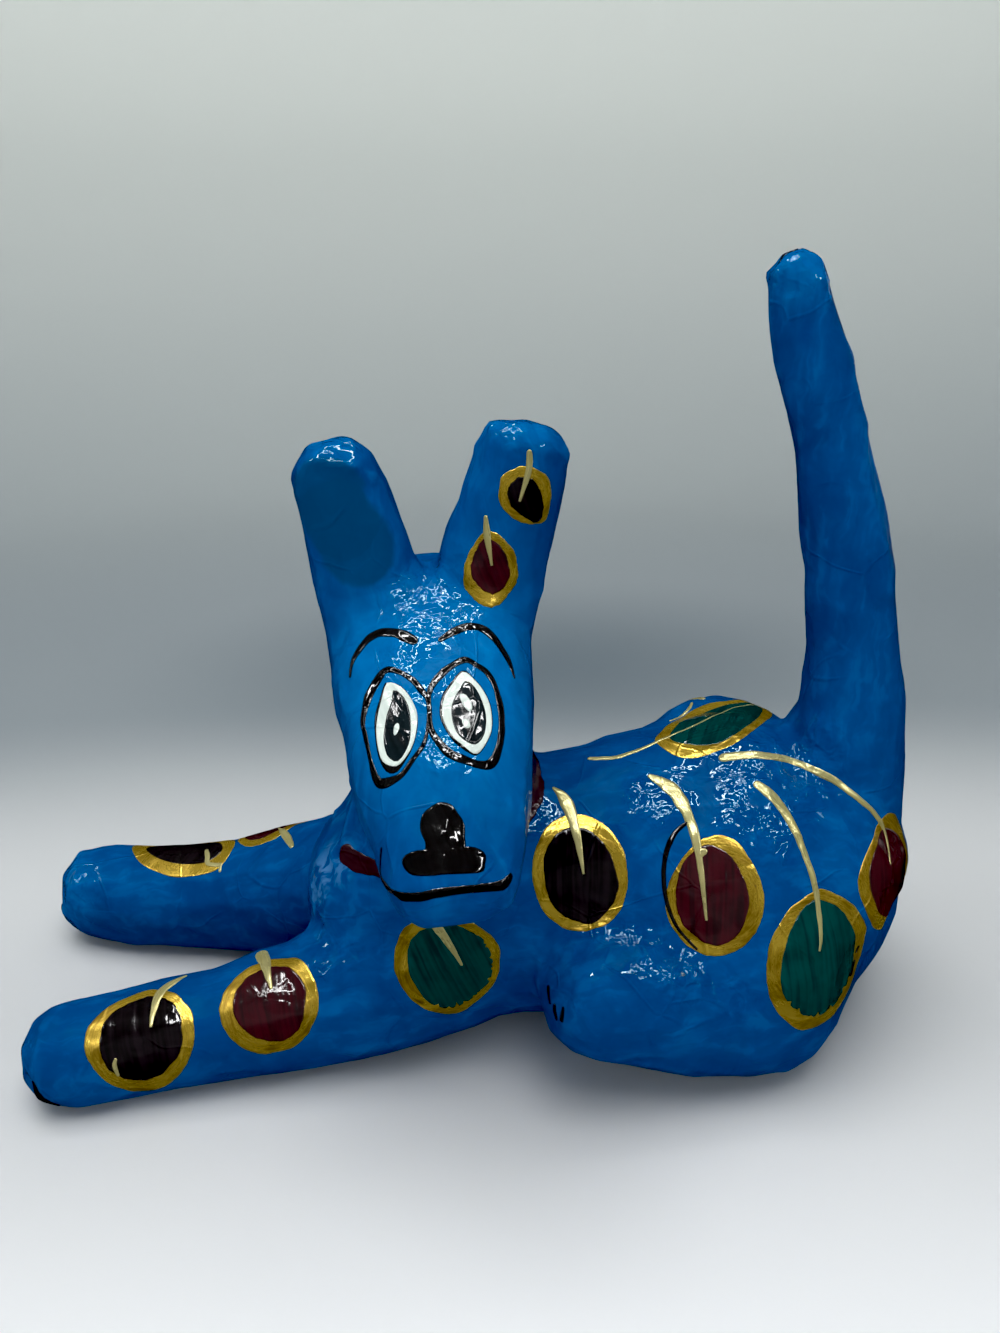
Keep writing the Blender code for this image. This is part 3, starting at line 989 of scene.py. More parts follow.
# A stem is a list of points (u, v, width) in millimetres on the spot's seat, and so are a small stem,
# an arc and a fleck. A far stem or a dark mark has the three shares of in_box instead, and then the width.
SPOTS = (
    Spot("upper_ear", (56.3, 43.2, 75.6),
         Egg(8.4, 10.2, 0.2, 0.24, 39, (1.0, -1.2), seed=1),
         Egg(5.2, 7.8, 0.32, 0.06, 34, (1.0, -2.4), seed=2), "black",
         ((0.5, 13.4, 1.5), (0.8, 7.3, 2.2), (-1.6, -2.8, 0.8))),
    Spot("lower_ear", (53.1, 42.2, 67.2),
         Egg(8.6, 12.2, -0.1, 0.12, -3, (0.4, 0.3), seed=3),
         Egg(6.3, 9.6, -0.13, 0.4, 6, (0.3, 1.3), seed=4), "red",
         ((-0.9, 17.5, 1.4), (-0.5, 11.2, 2.4), (0.8, 1.3, 0.8))),
    Spot("paw", (17.2, 28.3, 10.5),
         Egg(18.2, 21.6, 0.21, 0.2, 4, (0.1, -1.4), seed=5),
         Egg(14.5, 15.9, 0.1, 0.15, 3, (0.3, 0.5), seed=6), "black",
         ((12.0, 27.2, 1.2), (5.0, 18.2, 4.0), (3.5, 4.2, 1.0))),
    Spot("foreleg", (30.0, 32.2, 13.0),
         Egg(17.6, 18.6, 0.0, 0.1, 0, (0.0, 0.7), seed=7),
         Egg(13.0, 14.0, 0.1, 0.0, 20, (0.5, 0.6), seed=8), "red",
         ((-8.4, 25.9, 5.0), (-3.9, 17.0, 4.5), (0.7, 5.2, 1.0))),
    Spot("chest", (48.4, 33.5, 17.1),
         Egg(18.9, 20.8, 0.2, 0.03, 3, (0.0, -0.5), seed=9),
         Egg(15.5, 18.5, 0.11, 0.2, -1, (0.8, 0.2), seed=10, notches=(-125, 50, 1.8)), "green",
         ((-5.0, 20.0, 5.0), (0.2, 11.6, 3.5), (5.3, 0.8, 1.0))),
    Spot("shoulder", (62.0, 36.3, 29.0),
         Egg(17.0, 21.2, -0.03, 0.05, 6, (-0.4, 0.4), seed=11),
         Egg(13.1, 17.3, -0.02, 0.08, 13, (-0.3, -0.5), seed=12), "black",
         ((-9.7, 32.5, 1.0), (-5.3, 27.1, 4.5), (-1.4, 15.4, 3.5), (1.2, -0.3, 0.8))),
    Spot("flank", (74.8, 28.9, 28.1),
         Egg(16.4, 21.0, -0.12, 0.15, -8, (0.2, 0.4), seed=13),
         Egg(12.3, 17.6, -0.1, 0.13, 4, (-0.8, 0.4), seed=14), "red",
         ((-22.0, 44.7, 1.2), (-17.0, 41.5, 4.6), (-12.2, 36.8, 5.4), (-7.6, 27.0, 3.6), (-5.0, 16.2, 3.0),
          (-2.6, -8.2, 0.9))),
    Spot("haunch", (84.0, 20.8, 22.1),
         Egg(21.1, 26.2, 0.01, 0.2, 3, (4.6, -2.9), seed=15),
         Egg(15.8, 21.0, -0.15, 0.0, 2, (4.3, -0.9), seed=16, notches=(-150, -20, 1.6)), "green",
         ((-12.0, 63.3, 3.4), (-7.0, 57.5, 4.2), (-3.0, 49.0, 3.6), (0.0, 39.0, 2.8), (1.8, 30.0, 2.4),
          (3.0, 22.5, 2.4), (3.3, 13.0, 2.2), (2.5, 2.5, 0.9))),
    Spot("rump", (93.2, 34.1, 28.6),
         Drawn(((6.5, 18.5), (-7.0, 9.0), (-15.5, -0.5), (-13.0, -12.0), (-7.0, -19.5), (4.0, -22.0),
                (16.0, -17.0), (22.0, -4.0), (22.0, 10.0), (16.0, 18.0))),
         Drawn(((2.5, 13.5), (-6.5, 6.0), (-11.0, -1.5), (-8.0, -12.0), (-1.0, -16.5), (8.0, -17.0),
                (15.0, -11.0), (17.5, 0.0), (15.0, 10.0), (9.0, 14.0))), "red",
         ((-48.0, 55.0, 3.2), (-43.0, 55.0, 4.0), (-31.0, 50.5, 3.2), (-21.5, 46.5, 3.0), (-12.5, 36.5, 2.8),
          (-5.0, 27.5, 2.4), (1.5, 20.0, 2.2), (5.5, 13.0, 1.8), (2.5, 1.5, 0.8))),
    Spot("back", (78.0, 59.7, 41.0),
         Drawn(((-20.5, -6.5), (-16.5, 17.5), (-3.5, 29.5), (8.5, 40.0), (16.0, 40.0), (18.0, 17.0),
                (12.5, -5.5), (2.5, -16.5), (-8.0, -20.5), (-18.0, -14.5))),
         Drawn(((-15.5, -5.0), (-12.5, 13.0), (-1.5, 25.0), (8.0, 35.5), (12.5, 35.5), (14.0, 12.0),
                (8.0, -6.5), (-0.5, -13.0), (-12.5, -12.5))), "green",
         ((-43.5, -24.0, 2.0), (-38.0, -23.5, 2.2), (-31.0, -22.0, 2.2), (-19.5, -13.0, 1.2),
          (-6.5, 2.0, 1.0), (1.0, 18.5, 0.9), (9.0, 34.0, 0.6))),
    Spot("far_foreleg", (16.0, 81.0, 14.6),
         Drawn(((-28.0, 11.0), (-18.0, -1.5), (-5.0, -7.0), (3.0, -8.0), (15.5, -6.0), (21.0, -2.0),
                (22.5, 5.5), (19.0, 15.0), (8.0, 20.0), (-8.0, 20.5), (-21.0, 18.0))),
         Drawn(((-21.0, 10.0), (-14.0, 2.5), (-5.0, -1.0), (4.0, -2.0), (13.0, -0.5), (17.5, 5.5),
                (13.5, 12.5), (4.0, 16.0), (-8.0, 16.5), (-17.0, 14.5))), "black",
         ((9.5, 7.0, 1.6), (12.0, 2.5, 2.6), (14.0, -1.5, 2.2), (21.0, -2.5, 2.4))),
    Spot("far_shoulder", (28.0, 86.0, 16.0),
         Egg(17.0, 16.0, 0.1, 0.1, 0, (0, -3), seed=23),
         Egg(13.0, 12.0, 0.0, 0.1, 0, (0, -4), seed=24), "red",
         ((14.0, 24.0, 2.0), (8.0, 15.0, 3.6), (2.0, 3.0, 1.0))),
    Spot("far_flank", (62.0, 88.0, 26.0),
         Egg(17.0, 21.0, -0.05, 0.1, 5, seed=25), Egg(13.0, 16.5, 0.0, 0.1, 5, seed=26), "green",
         ((-10.0, 36.0, 2.0), (-5.0, 26.0, 5.0), (0.0, 2.0, 1.0))),
    Spot("far_side", (76.0, 95.0, 29.0),
         Egg(16.0, 20.0, 0.0, 0.1, -6, seed=27), Egg(12.5, 16.0, 0.0, 0.1, -6, seed=28), "black",
         ((12.0, 42.0, 2.0), (6.0, 30.0, 5.0), (0.0, 2.0, 1.0))),
    Spot("far_haunch", (88.0, 92.0, 20.0),
         Egg(19.0, 23.0, 0.0, 0.1, 4, seed=29), Egg(14.0, 18.0, -0.1, 0.1, 4, seed=30), "red",
         ((6.0, 52.0, 2.0), (3.0, 38.0, 5.0), (1.0, 2.0, 1.0))),
    Spot("neck", (40.0, 66.0, 52.0),
         Egg(13.0, 16.0, 0.0, 0.1, 0, seed=31), Egg(9.5, 12.0, 0.0, 0.1, 0, seed=32), "green",
         ((-6.0, 25.0, 1.5), (-3.0, 17.0, 3.5), (0.0, 2.0, 0.8))),
    Spot("ear_back", (55.0, 56.0, 72.0),
         Egg(8.5, 11.0, 0.0, 0.1, 0, seed=33), Egg(6.0, 8.0, 0.0, 0.1, 0, seed=34), "black",
         ((0.0, 16.0, 1.5), (0.0, 10.0, 2.4), (0.0, 1.0, 0.8))),
)

SMALL_STEMS = (
    ("flank", ((-4.6, 13.5, 1.6), (-3.2, 15.4, 2.8), (-1.6, 15.0, 1.6))),
    ("paw", ((-8.0, -4.8, 0.8), (-8.7, -7.5, 1.7), (-7.5, -12.0, 1.0))),
    ("far_foreleg", ((19.5, -1.5, 1.6), (20.8, -6.0, 1.3))),
)
FAR_STEM = ((74.5, 71.0, 38.5, 1.0), (77.0, 74.5, 39.0, 1.6), (78.0, 77.5, 39.0, 1.0))
GOLD_UNDER_FILL = 1.2 * MM
# How thick each kind of paint lies, in coats.
FILL_COATS, STEM_COATS, BROW_COATS, EYE_LINE_COATS, NOSE_COATS, MOUTH_COATS = 1.8, 2.5, 1.3, 1.4, 1.6, 1.3
RIM_COATS, WHITE_COATS, PUPIL_COATS, LIGHT_COATS, COLLAR_COATS, MARK_COATS = 1.2, 2.0, 2.8, 3.6, 1.2, 2.2


class PaintStep:
    """What every operator that paints has in common."""

    def execute(self, context):
        if Skin.made is None:
            raise RuntimeError("lay the paper skin first")
        self.paint(context.scene.dog_paint, Skin.made)
        return {"FINISHED"}


def drawn_stroke(coat, board, route, closed=False):
    """A stroke through points in millimetres on a board or a seat."""
    coat.stroke([(board.at(u * MM, v * MM)[0], width * MM) for u, v, width in route], closed)


def seated_stroke(coat, name, route):
    """A stroke through points in millimetres on the seat of a spot."""
    share = next(spot.share for spot in SPOTS if spot.name == name)
    drawn_stroke(coat, Seat(coat.skin, share), route)


def boxed_stroke(coat, route):
    """A stroke through places given by their shares of the dog's box."""
    coat.stroke([(in_box(*point[:3]), point[3] * MM) for point in route])


class DOG_OT_gold_bands(PaintStep, bpy.types.Operator):
    """Paint the gold band of every spot"""

    bl_idname = "dog.gold_bands"
    bl_label = "Gold Bands"

    def paint(self, paints, skin):
        coat = Coat("gold_bands", skin, paints.film)
        for spot in SPOTS:
            coat.disc(Seat(skin, spot.share), spot.gold, Tucked(spot.fill, GOLD_UNDER_FILL))
        coat.piece(gold_material(paints), "gold_paint")


class DOG_OT_spot_fills(PaintStep, bpy.types.Operator):
    """Paint the black, red and green middles of the spots"""

    bl_idname = "dog.spot_fills"
    bl_label = "Spot Middles"

    def paint(self, paints, skin):
        looks = {
            "black": ("black_paint", paints.black, (0.022, 0.018, 0.02)),
            "red": ("dark_red_paint", paints.red, (0.027, 0.018, 0.019)),
            "green": ("dark_green_paint", paints.green, (0.007, 0.03, 0.032)),
        }
        for colour, (slot, full, thin) in looks.items():
            coat = Coat(f"{colour}_spots", skin, FILL_COATS * paints.film)
            for spot in SPOTS:
                if spot.colour == colour:
                    coat.disc(Seat(skin, spot.share), spot.fill)
            coat.piece(paint_material(coat.name, full, thin, streak=0.95), slot)


class DOG_OT_stems(PaintStep, bpy.types.Operator):
    """Paint the pale stem of every spot"""

    bl_idname = "dog.stems"
    bl_label = "Stems"

    def paint(self, paints, skin):
        coat = Coat("stems", skin, STEM_COATS * paints.film)
        for name, route in [(spot.name, spot.stem) for spot in SPOTS] + list(SMALL_STEMS):
            seated_stroke(coat, name, route)
        boxed_stroke(coat, FAR_STEM)
        coat.piece(paint_material("stems", paints.pale_gold, (0.3, 0.25, 0.08), 0.25, 0.35), "gold_paint")


def gold_material(paints):
    """Gold paint: bright where it lies thick, brown where the brush dragged."""
    mix = Mixture("gold_bands")
    place = mix.place()
    stroke = mix.attribute("stroke", "Vector")
    streaks = mix.noise(mix.stretched(stroke, (110, 110, 1000)), 1.0, 3.0, 0.65)
    patches = mix.noise(place, 120, 4.0, 0.65)
    clouds = mix.noise(place, 55, 2.0)
    wear_and_sheen = mix.step(streaks * 0.4 + patches * 0.3 + clouds * 0.3, 0.42, 0.6)
    bare = mix.step(streaks * 0.35 + patches * 0.65, 0.64, 0.7)
    shade = mix.tint(wear_and_sheen * 0.85, paints.gold, (0.19, 0.115, 0.015))
    shade = mix.tint(bare * 0.6, shade, (0.06, 0.05, 0.03))
    rough = 0.2 + wear_and_sheen * 0.25
    return mix.surface(shade, rough, wrinkles(mix, place) + (streaks - 0.5) * 0.12, 0.62)


# ---------------------------------------------------------------- the face

FACE_SHARE = (47.4, 23.0, 57.3)
FACE_FACING = (0.0, -0.62, 0.785)

# Points (u, v, width) of the strokes and (u, v) of the patches, in millimetres on the board before the face.
LEFT_BROW = ((-24.2, 12.6, 1.0), (-23.2, 18.0, 1.9), (-19.5, 23.5, 2.8), (-15.0, 25.6, 3.4),
             (-10.0, 24.5, 3.5), (-6.5, 22.3, 4.2), (-3.4, 20.0, 3.2))
RIGHT_BROW = ((3.0, 20.5, 2.0), (7.5, 24.0, 2.8), (12.5, 26.5, 3.0), (17.0, 26.0, 3.0), (21.0, 22.0, 2.6),
              (24.5, 16.0, 2.2), (26.0, 9.5, 0.8))
LEFT_EYE_LINE = ((-13.4, 10.8, 2.8), (-9.7, 10.2, 1.9), (-5.5, 7.0, 1.9), (-2.3, 2.6, 2.1), (-0.5, -0.9, 1.5),
                 (-0.8, -8.3, 0.9), (-2.0, -14.0, 1.3), (-5.1, -18.5, 1.5), (-8.8, -23.1, 1.8),
                 (-14.2, -24.6, 3.2), (-16.2, -22.4, 2.6), (-17.4, -17.1, 1.5), (-18.5, -9.8, 1.6),
                 (-19.0, -4.3, 1.9), (-17.9, 3.2, 2.9), (-15.7, 7.8, 3.0))
RIGHT_EYE_LINE = ((11.2, 13.7, 2.5), (14.1, 12.2, 2.1), (17.4, 9.7, 2.1), (19.7, 5.0, 2.1), (21.0, -2.1, 2.4),
                  (20.9, -8.7, 2.3), (19.9, -15.1, 2.6), (17.1, -20.5, 3.2), (13.4, -20.9, 2.5),
                  (9.4, -19.7, 2.7), (5.4, -17.8, 2.6), (2.3, -14.2, 2.4), (0.0, -9.7, 1.9),
                  (-0.1, -3.7, 1.1), (-0.2, 2.0, 1.7), (2.4, 6.9, 2.3), (7.2, 11.8, 2.3))
LEFT_WHITE = ((-11.9, 6.8), (-8.5, 4.6), (-5.6, 0.4), (-3.8, -4.9), (-4.1, -10.8), (-5.9, -15.9),
              (-8.8, -19.9), (-11.2, -20.4), (-14.1, -18.5), (-15.3, -14.4), (-15.8, -9.0), (-15.3, -3.2),
              (-14.2, 2.1), (-13.2, 5.8))
LEFT_PUPIL = ((-10.6, 4.0), (-7.7, 1.1), (-5.9, -3.3), (-5.5, -8.9), (-6.4, -14.6), (-9.4, -19.2),
              (-12.2, -17.9), (-13.4, -14.8), (-13.7, -10.4), (-13.0, -4.7), (-11.5, -0.3))
LEFT_RIM = ((-12.5, 6.9), (-8.5, 4.8), (-5.6, 0.5), (-3.8, -4.9), (-4.0, -10.8), (-5.9, -16.4),
            (-8.8, -21.0), (-10.8, -22.4), (-13.3, -21.4), (-15.2, -17.2), (-16.1, -10.7), (-16.0, -3.1),
            (-14.8, 2.2), (-13.6, 6.1))
RIGHT_WHITE = ((10.1, 9.3), (13.4, 6.6), (16.0, 3.0), (17.7, -1.7), (18.0, -7.3), (17.1, -12.3),
               (13.1, -18.0), (8.8, -15.2), (5.6, -11.7), (3.3, -5.7), (4.1, 0.4), (6.6, 4.8))
RIGHT_PUPIL = ((10.8, 6.0), (13.7, 3.4), (15.6, -1.4), (16.4, -6.0), (15.7, -11.6), (13.1, -15.2),
               (10.0, -14.3), (7.3, -11.3), (6.0, -6.2), (6.4, -1.6), (8.6, 2.8))
RIGHT_RIM = ((10.1, 9.9), (13.5, 6.9), (16.2, 3.1), (17.9, -1.6), (18.2, -7.3), (17.2, -12.4),
             (13.1, -18.3), (8.2, -15.8), (5.1, -11.9), (2.7, -5.7), (3.5, 0.8), (6.1, 5.1))
LEFT_LIGHT = ((-9.2, -7.2), (-8.9, -9.2), (-10.2, -11.4), (-10.8, -10.8), (-10.6, -8.0))
UPPER_LIGHT = ((8.6, 1.0), (10.4, 1.2), (12.4, -2.0), (12.2, -4.4), (11.2, -4.8), (9.4, -2.4))
LOWER_LIGHT = ((9.0, -7.2), (11.0, -7.0), (11.8, -9.4), (10.8, -10.2), (9.6, -9.8))
# Each patch of the eyes with the middle that its outline is drawn about.
LEFT_MIDDLE, RIGHT_MIDDLE = (-9.9, -7.0), (10.8, -4.5)
RIMS = ((LEFT_RIM, LEFT_MIDDLE), (RIGHT_RIM, RIGHT_MIDDLE))
WHITES = ((LEFT_WHITE, LEFT_MIDDLE), (RIGHT_WHITE, RIGHT_MIDDLE))
PUPILS = ((LEFT_PUPIL, LEFT_MIDDLE), (RIGHT_PUPIL, RIGHT_MIDDLE))
LIGHTS = ((LEFT_LIGHT, (-9.9, -9.2)), (UPPER_LIGHT, (10.6, -1.8)), (LOWER_LIGHT, (10.3, -8.6)))
NOSE_TOP = ((2.2, -31.6), (5.2, -32.4), (6.8, -34.6), (8.6, -37.5), (8.8, -41.0), (7.8, -46.5),
            (-1.6, -46.5), (-2.4, -42.8), (-3.8, -39.0), (-3.3, -35.2), (-0.8, -32.8))
NOSE_BAR = ((-9.0, -47.6), (-8.4, -45.6), (-5.4, -44.6), (-1.6, -44.6), (7.5, -44.4), (11.6, -44.6),
            (14.2, -46.2), (14.2, -49.0), (12.6, -51.6), (3.0, -51.9), (-2.5, -51.9), (-6.8, -50.8))
MOUTH = ((-15.0, -41.0, 0.8), (-14.6, -46.5, 1.2), (-12.6, -51.5, 1.6), (-9.5, -55.2, 2.4),
         (-6.0, -56.5, 2.7), (0.5, -56.3, 2.7), (8.0, -55.7, 2.5), (15.5, -55.0, 2.6), (18.8, -53.8, 2.8),
         (21.0, -51.0, 1.8))


def drawn_patch(coat, board, outline, middle):
    """A patch inside an outline in millimetres on a board."""
    coat.disc(board.moved(*middle), Drawn(outline, middle))


class DOG_OT_face_lines(PaintStep, bpy.types.Operator):
    """Paint the black brows, the lines round the eyes, the nose and the mouth"""

    bl_idname = "dog.face_lines"
    bl_label = "Face Lines"

    def paint(self, paints, skin):
        board = Easel(skin, FACE_SHARE, FACE_FACING)
        black = paint_material("black_lines", paints.black, (0.018, 0.018, 0.018))
        for name, coats, routes, closed in (
                ("brows", BROW_COATS, (LEFT_BROW, RIGHT_BROW), False),
                ("eye_lines", EYE_LINE_COATS, (LEFT_EYE_LINE, RIGHT_EYE_LINE), True)):
            lines = Coat(name, skin, coats * paints.film)
            for route in routes:
                drawn_stroke(lines, board, route, closed)
            lines.piece(black, "black_paint")
        nose = Coat("nose", skin, NOSE_COATS * paints.film)
        drawn_patch(nose, board, NOSE_TOP, (2.5, -40.0))
        drawn_patch(nose, board, NOSE_BAR, (3.0, -48.0))
        nose.piece(black, "black_paint")
        mouth = Coat("mouth", skin, MOUTH_COATS * paints.film)
        drawn_stroke(mouth, board, MOUTH)
        mouth.piece(black, "black_paint")


class DOG_OT_eyes(PaintStep, bpy.types.Operator):
    """Paint the whites, the pupils and the lights in them"""

    bl_idname = "dog.eyes"
    bl_label = "Eyes"

    def paint(self, paints, skin):
        board = Easel(skin, FACE_SHARE, FACE_FACING)
        black = paint_material("pupil_black", (0.019, 0.025, 0.028), (0.013, 0.014, 0.015), streak=1.0)
        white = paint_material("eye_white", paints.white, (0.45, 0.52, 0.5))
        rim_black = paint_material("rim_black", paints.black, (0.022, 0.022, 0.022))
        for name, coats, patches, material, slot in (
                ("eye_rims", RIM_COATS, RIMS, rim_black, "black_paint"),
                ("eye_whites", WHITE_COATS, WHITES, white, "white_paint"),
                ("pupils", PUPIL_COATS, PUPILS, black, "black_paint"),
                ("eye_lights", LIGHT_COATS, LIGHTS, white, "white_paint")):
            coat = Coat(name, skin, coats * paints.film)
            for outline, middle in patches:
                drawn_patch(coat, board, outline, middle)
            coat.piece(material, slot)


# ---------------------------------------------------------------- collar and small marks

COLLAR_MIDDLE = (47.7, 55.7, 33.9)
COLLAR_UP = (-0.272, -0.36, 0.893)
COLLAR_WIDTH, COLLAR_STRAY = 7.2, 1.2
# Where the collar ends, and from one of its points to the next, in degrees round the neck.
COLLAR_ENDS, COLLAR_PACE = (-72, 212), 12
COLLAR_RED = (0.042, 0.019, 0.022)


class DOG_OT_collar(PaintStep, bpy.types.Operator):
    """Paint the dark red collar round the neck"""

    bl_idname = "dog.collar"
    bl_label = "Collar"

    def paint(self, paints, skin):
        coat = Coat("collar", skin, COLLAR_COATS * paints.film)
        middle = in_box(*COLLAR_MIDDLE)
        axis = Vector(COLLAR_UP).normalized()
        ahead = flattened(Vector((0, -1, 0)), axis)
        side = axis.cross(ahead)
        path = []
        for degrees in range(*COLLAR_ENDS, COLLAR_PACE):
            turn = math.radians(degrees)
            outward = ahead * math.cos(turn) + side * math.sin(turn)
            place, _ = skin.struck(middle + outward * MM, outward)
            width = COLLAR_WIDTH + COLLAR_STRAY * noise.noise(Vector((3 * turn, 0, 0)))
            path.append((place, width * MM))
        coat.stroke(path)
        coat.piece(paint_material("collar", COLLAR_RED, (0.02, 0.015, 0.017), 0.2), "dark_red_paint")


FLANK_ARC = ((-8.0, 26.0, 1.0), (-12.5, 22.0, 1.9), (-15.7, 15.5, 1.9), (-16.9, 7.5, 1.7), (-16.0, -2.0, 1.6),
             (-12.4, -11.5, 1.3), (-6.0, -18.8, 0.9))
HAUNCH_FLECKS = (((22.4, 1.5, 1.8), (21.6, -2.0, 2.0)), ((21.8, -4.0, 1.8), (19.6, -10.5, 2.6)))
DARK_MARKS = (
    ((58.5, 26.0, 17.5, 1.4), (58.5, 23.5, 15.8, 1.6)),
    ((58.8, 22.0, 16.8, 1.2), (58.9, 21.4, 15.4, 2.6), (59.0, 21.2, 14.6, 1.2)),
    ((59.6, 20.4, 17.2, 1.0), (59.6, 20.0, 15.2, 2.2)),
    # Painted shade: a black line in the groove of the fold at the tail's tip.
    ((79.0, 55.5, 97.8, 0.8), (79.5, 55.5, 99.0, 1.3), (81.0, 56.5, 100.0, 0.9)),
    ((6.7, 26.0, 6.8, 2.0), (7.2, 25.3, 4.2, 5.0), (8.4, 26.0, 2.0, 4.0)),
    ((0.8, 82.0, 7.4, 1.0), (0.7, 83.0, 4.4, 1.8)),
)


class DOG_OT_marks(PaintStep, bpy.types.Operator):
    """Paint the small black marks: a stray arc, flecks, toes, worn ends and painted shade in the tail's fold
    """

    bl_idname = "dog.marks"
    bl_label = "Small Marks"

    def paint(self, paints, skin):
        coat = Coat("small_marks", skin, MARK_COATS * paints.film)
        seated_stroke(coat, "flank", FLANK_ARC)
        for fleck in HAUNCH_FLECKS:
            seated_stroke(coat, "haunch", fleck)
        for mark in DARK_MARKS:
            boxed_stroke(coat, mark)
        coat.piece(paint_material("mark_black", paints.black, (0.03, 0.03, 0.03)), "black_paint")


# ---------------------------------------------------------------- stage

CAMERA_STAND = (47.8, -134.4, 104.0)
SENSOR_WIDTH = 36.0
BLACK_LEVEL = 0.015
ROOM_COLOUR = (0.8, 0.85, 0.87)

SWEEP_RADIUS, SWEEP_BEND, SWEEP_HEIGHT = 1.1, 0.35, 0.8
SWEEP_GAP = 0.2 * MM
BEND_STEPS, ROUND_STEPS = 12, 96
# Painted light and shade on the sweep: a pool of light on the floor's front, light up the wall, a shadow
# behind the dog.
FLOOR_LIGHT_POOL = (0.97, 0.98, 1.0)
PAINTED_LIGHT_WALL = (0.65, 0.68, 0.65)
SHADE_BEHIND = (0.0, 0.03, 0.06)

LAMP_HEIGHT = 1.2
RING_HALF, RING_WIDTH = 0.32, 0.036
# Narrow lamps overhead that only the gloss shows: name, place, size and power.
NARROW_LAMPS = (
    ("bridge_lamp", (-0.1, -0.54), (0.036, 0.24), 2.2),
    ("left_lamp", (-1.08, -0.12), (0.04, 0.5), 5.0),
    ("right_lamp", (0.95, -0.8), (0.05, 0.8), 9.7),
)


def sweep(settings):
    """A round floor that turns up into a wall, turned from one profile."""
    flat = SWEEP_RADIUS - SWEEP_BEND
    profile = [(0.0, 0.0), (flat, 0.0)]
    for k in range(1, BEND_STEPS + 1):
        turn = math.pi / 2 * k / BEND_STEPS
        profile.append((flat + SWEEP_BEND * math.sin(turn), SWEEP_BEND - SWEEP_BEND * math.cos(turn)))
    profile.append((SWEEP_RADIUS, SWEEP_HEIGHT))
    mesh = bpy.data.meshes.new("sweep")
    mesh.from_pydata([(x, 0, z) for x, z in profile], [(k, k + 1) for k in range(len(profile) - 1)], [])
    made = added("sweep", mesh)
    made.location = (0, 0, LOW.z - SWEEP_GAP)
    turned = made.modifiers.new("Turned", "SCREW")
    turned.steps = turned.render_steps = ROUND_STEPS
    turned.use_merge_vertices = True
    turned.merge_threshold = 0.1 * MM
    turned.use_smooth_shade = True
    mesh.materials.append(sweep_material(settings))
    return made


def sweep_material(settings):
    """Painted light on floor and wall: a pool at the front, paler up the wall, painted shade low and behind
    the dog.
    """
    mix = Mixture("sweep")
    place = mix.place()
    height = mix.node("ShaderNodeSeparateXYZ", {}, {"Vector": place}, "Z")
    away = mix.far(mix.stretched(place, (0.6, 1.0, 0.0)), (0, -0.6, 0))
    # A painted pool of light on the floor's front, and painted shade on the wall low down.
    near = mix.tint(mix.step(away, 0.62, 0.35), settings.floor, FLOOR_LIGHT_POOL)
    behind = mix.far(mix.stretched(place, (3.0, 5.0, 0.0)), (0.18, 1.7, 0))
    colour = mix.tint(mix.step(away, 0.7, 0.9), near, settings.wall)
    # Painted light up the wall, and painted shade behind the dog.
    paler = mix.step(away, 1.0, 1.75) * 0.4 + mix.step(height, 0.03, 0.5) * 0.6
    colour = mix.tint(paler, colour, PAINTED_LIGHT_WALL)
    colour = mix.tint(mix.step(behind, 1.0, 0.0) * 0.42, colour, SHADE_BEHIND)
    grain = mix.noise(place, 700, 2.0)
    return mix.surface(colour, 0.75, grain * 0.02, ior=1.0)


def area_lamp(name, place, size, power, aim=(0, 0, 0.1)):
    """A rectangular lamp that faces its aim."""
    light = bpy.data.lights.new(name, "AREA")
    light.shape = "RECTANGLE"
    light.size, light.size_y = size
    light.energy = power
    lamp = added(name, light)
    lamp.location = place
    lamp.rotation_euler = (Vector(aim) - lamp.location).to_track_quat("-Z", "Y").to_euler()
    return lamp


def light_stage(settings):
    """Broad lamps that light the paint, narrow ones that only the gloss shows, and the pale room."""
    above, behind, before, below = (-0.12, -0.2, 1.25), (0.0, 0.3, 1.3), (0.0, -1.3, 0.6), (0.0, -1.3, 0.5)
    area_lamp("softbox", above, (1.1, 0.8), settings.soft).visible_glossy = False
    area_lamp("backdrop", behind, (1.6, 0.3), settings.backdrop, (0, 1.1, 0.4)).visible_glossy = False
    area_lamp("front", before, (1.6, 1.0), settings.front)
    area_lamp("fill", below, (1.6, 1.0), settings.fill).visible_glossy = False
    for side in (-1, 1):
        area_lamp(f"wall_{side}", (0.9 * side, 0.45, 0.3), (0.4, 0.6), 0.4).visible_diffuse = False
    ring = []
    for k, (x, y) in enumerate(((RING_HALF, 0), (0, RING_HALF), (-RING_HALF, 0), (0, -RING_HALF))):
        size = (RING_WIDTH, 2 * RING_HALF) if x else (2 * RING_HALF, RING_WIDTH)
        ring.append((f"lamp_{k}", (x, y), size, settings.sparkle))
    for name, (x, y), size, power in (*ring, *NARROW_LAMPS):
        area_lamp(name, (x, y, LAMP_HEIGHT), size, power, (x, y, 0)).visible_diffuse = False
    world = bpy.data.worlds.new("studio")
    world.use_nodes = True
    background = world.node_tree.nodes["Background"]
    background.inputs["Color"].default_value = (*ROOM_COLOUR, 1)
    background.inputs["Strength"].default_value = settings.room
    bpy.context.scene.world = world
    world.cycles_visibility.glossy = False


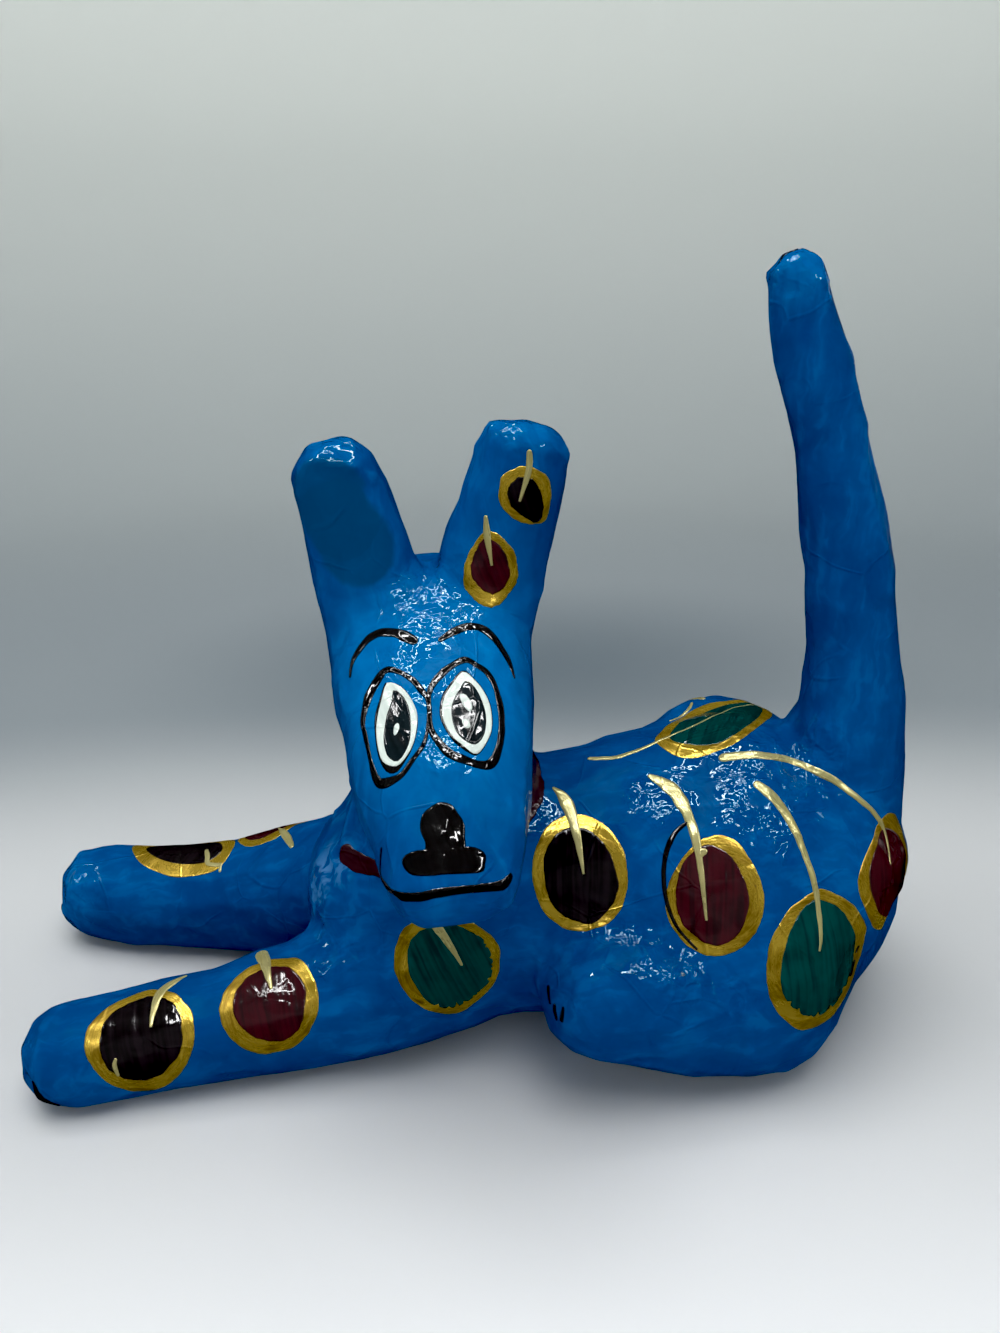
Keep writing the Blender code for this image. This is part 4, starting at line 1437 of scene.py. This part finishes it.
def aim_camera(settings):
    data = bpy.data.cameras.new("camera")
    data.lens = settings.lens
    data.sensor_width = SENSOR_WIDTH
    camera = added("camera", data)
    camera.location = in_box(*CAMERA_STAND)
    camera.rotation_euler = (math.pi / 2 - settings.tilt, 0, -settings.turn)
    bpy.context.scene.camera = camera


class DOG_OT_stage(bpy.types.Operator):
    """Set the dog on a pale floor under soft light, and aim the camera"""

    bl_idname = "dog.stage"
    bl_label = "Stage"

    def execute(self, context):
        settings = context.scene.dog_stage
        floor = sweep(settings)
        floor.visible_glossy = False
        light_stage(settings)
        aim_camera(settings)
        looks = context.scene.view_settings
        looks.view_transform = "Standard"
        looks.use_curve_mapping = True
        looks.curve_mapping.black_level = (BLACK_LEVEL,) * 3
        looks.curve_mapping.update()
        return {"FINISHED"}


# ---------------------------------------------------------------- panel and run

STEPS = ("skin", "gold_bands", "spot_fills", "stems", "face_lines", "eyes", "collar", "marks", "stage")


class DOG_PT_panel(bpy.types.Panel):
    """Lists the steps in the order in which the dog is made"""

    bl_label = "Papier-mache Dog"
    bl_idname = "DOG_PT_panel"
    bl_space_type = "VIEW_3D"
    bl_region_type = "UI"
    bl_category = "Dog"

    def draw(self, context):
        for step in STEPS:
            self.layout.operator(f"dog.{step}")
        for group in (context.scene.dog_paper, context.scene.dog_paint, context.scene.dog_stage):
            box = self.layout.box()
            for name in group.__annotations__:
                box.prop(group, name)


CLASSES = (
    PaperSettings, PaintSettings, StageSettings, DOG_OT_skin, DOG_OT_gold_bands, DOG_OT_spot_fills,
    DOG_OT_stems, DOG_OT_face_lines, DOG_OT_eyes, DOG_OT_collar, DOG_OT_marks, DOG_OT_stage, DOG_PT_panel)


def register():
    for cls in CLASSES:
        bpy.utils.register_class(cls)
    bpy.types.Scene.dog_paper = PointerProperty(type=PaperSettings)
    bpy.types.Scene.dog_paint = PointerProperty(type=PaintSettings)
    bpy.types.Scene.dog_stage = PointerProperty(type=StageSettings)


def unregister():
    for name in ("dog_paper", "dog_paint", "dog_stage"):
        delattr(bpy.types.Scene, name)
    for cls in reversed(CLASSES):
        bpy.utils.unregister_class(cls)


def main():
    register()
    for step in STEPS:
        getattr(bpy.ops.dog, step)()


if __name__ == "__main__":
    main()
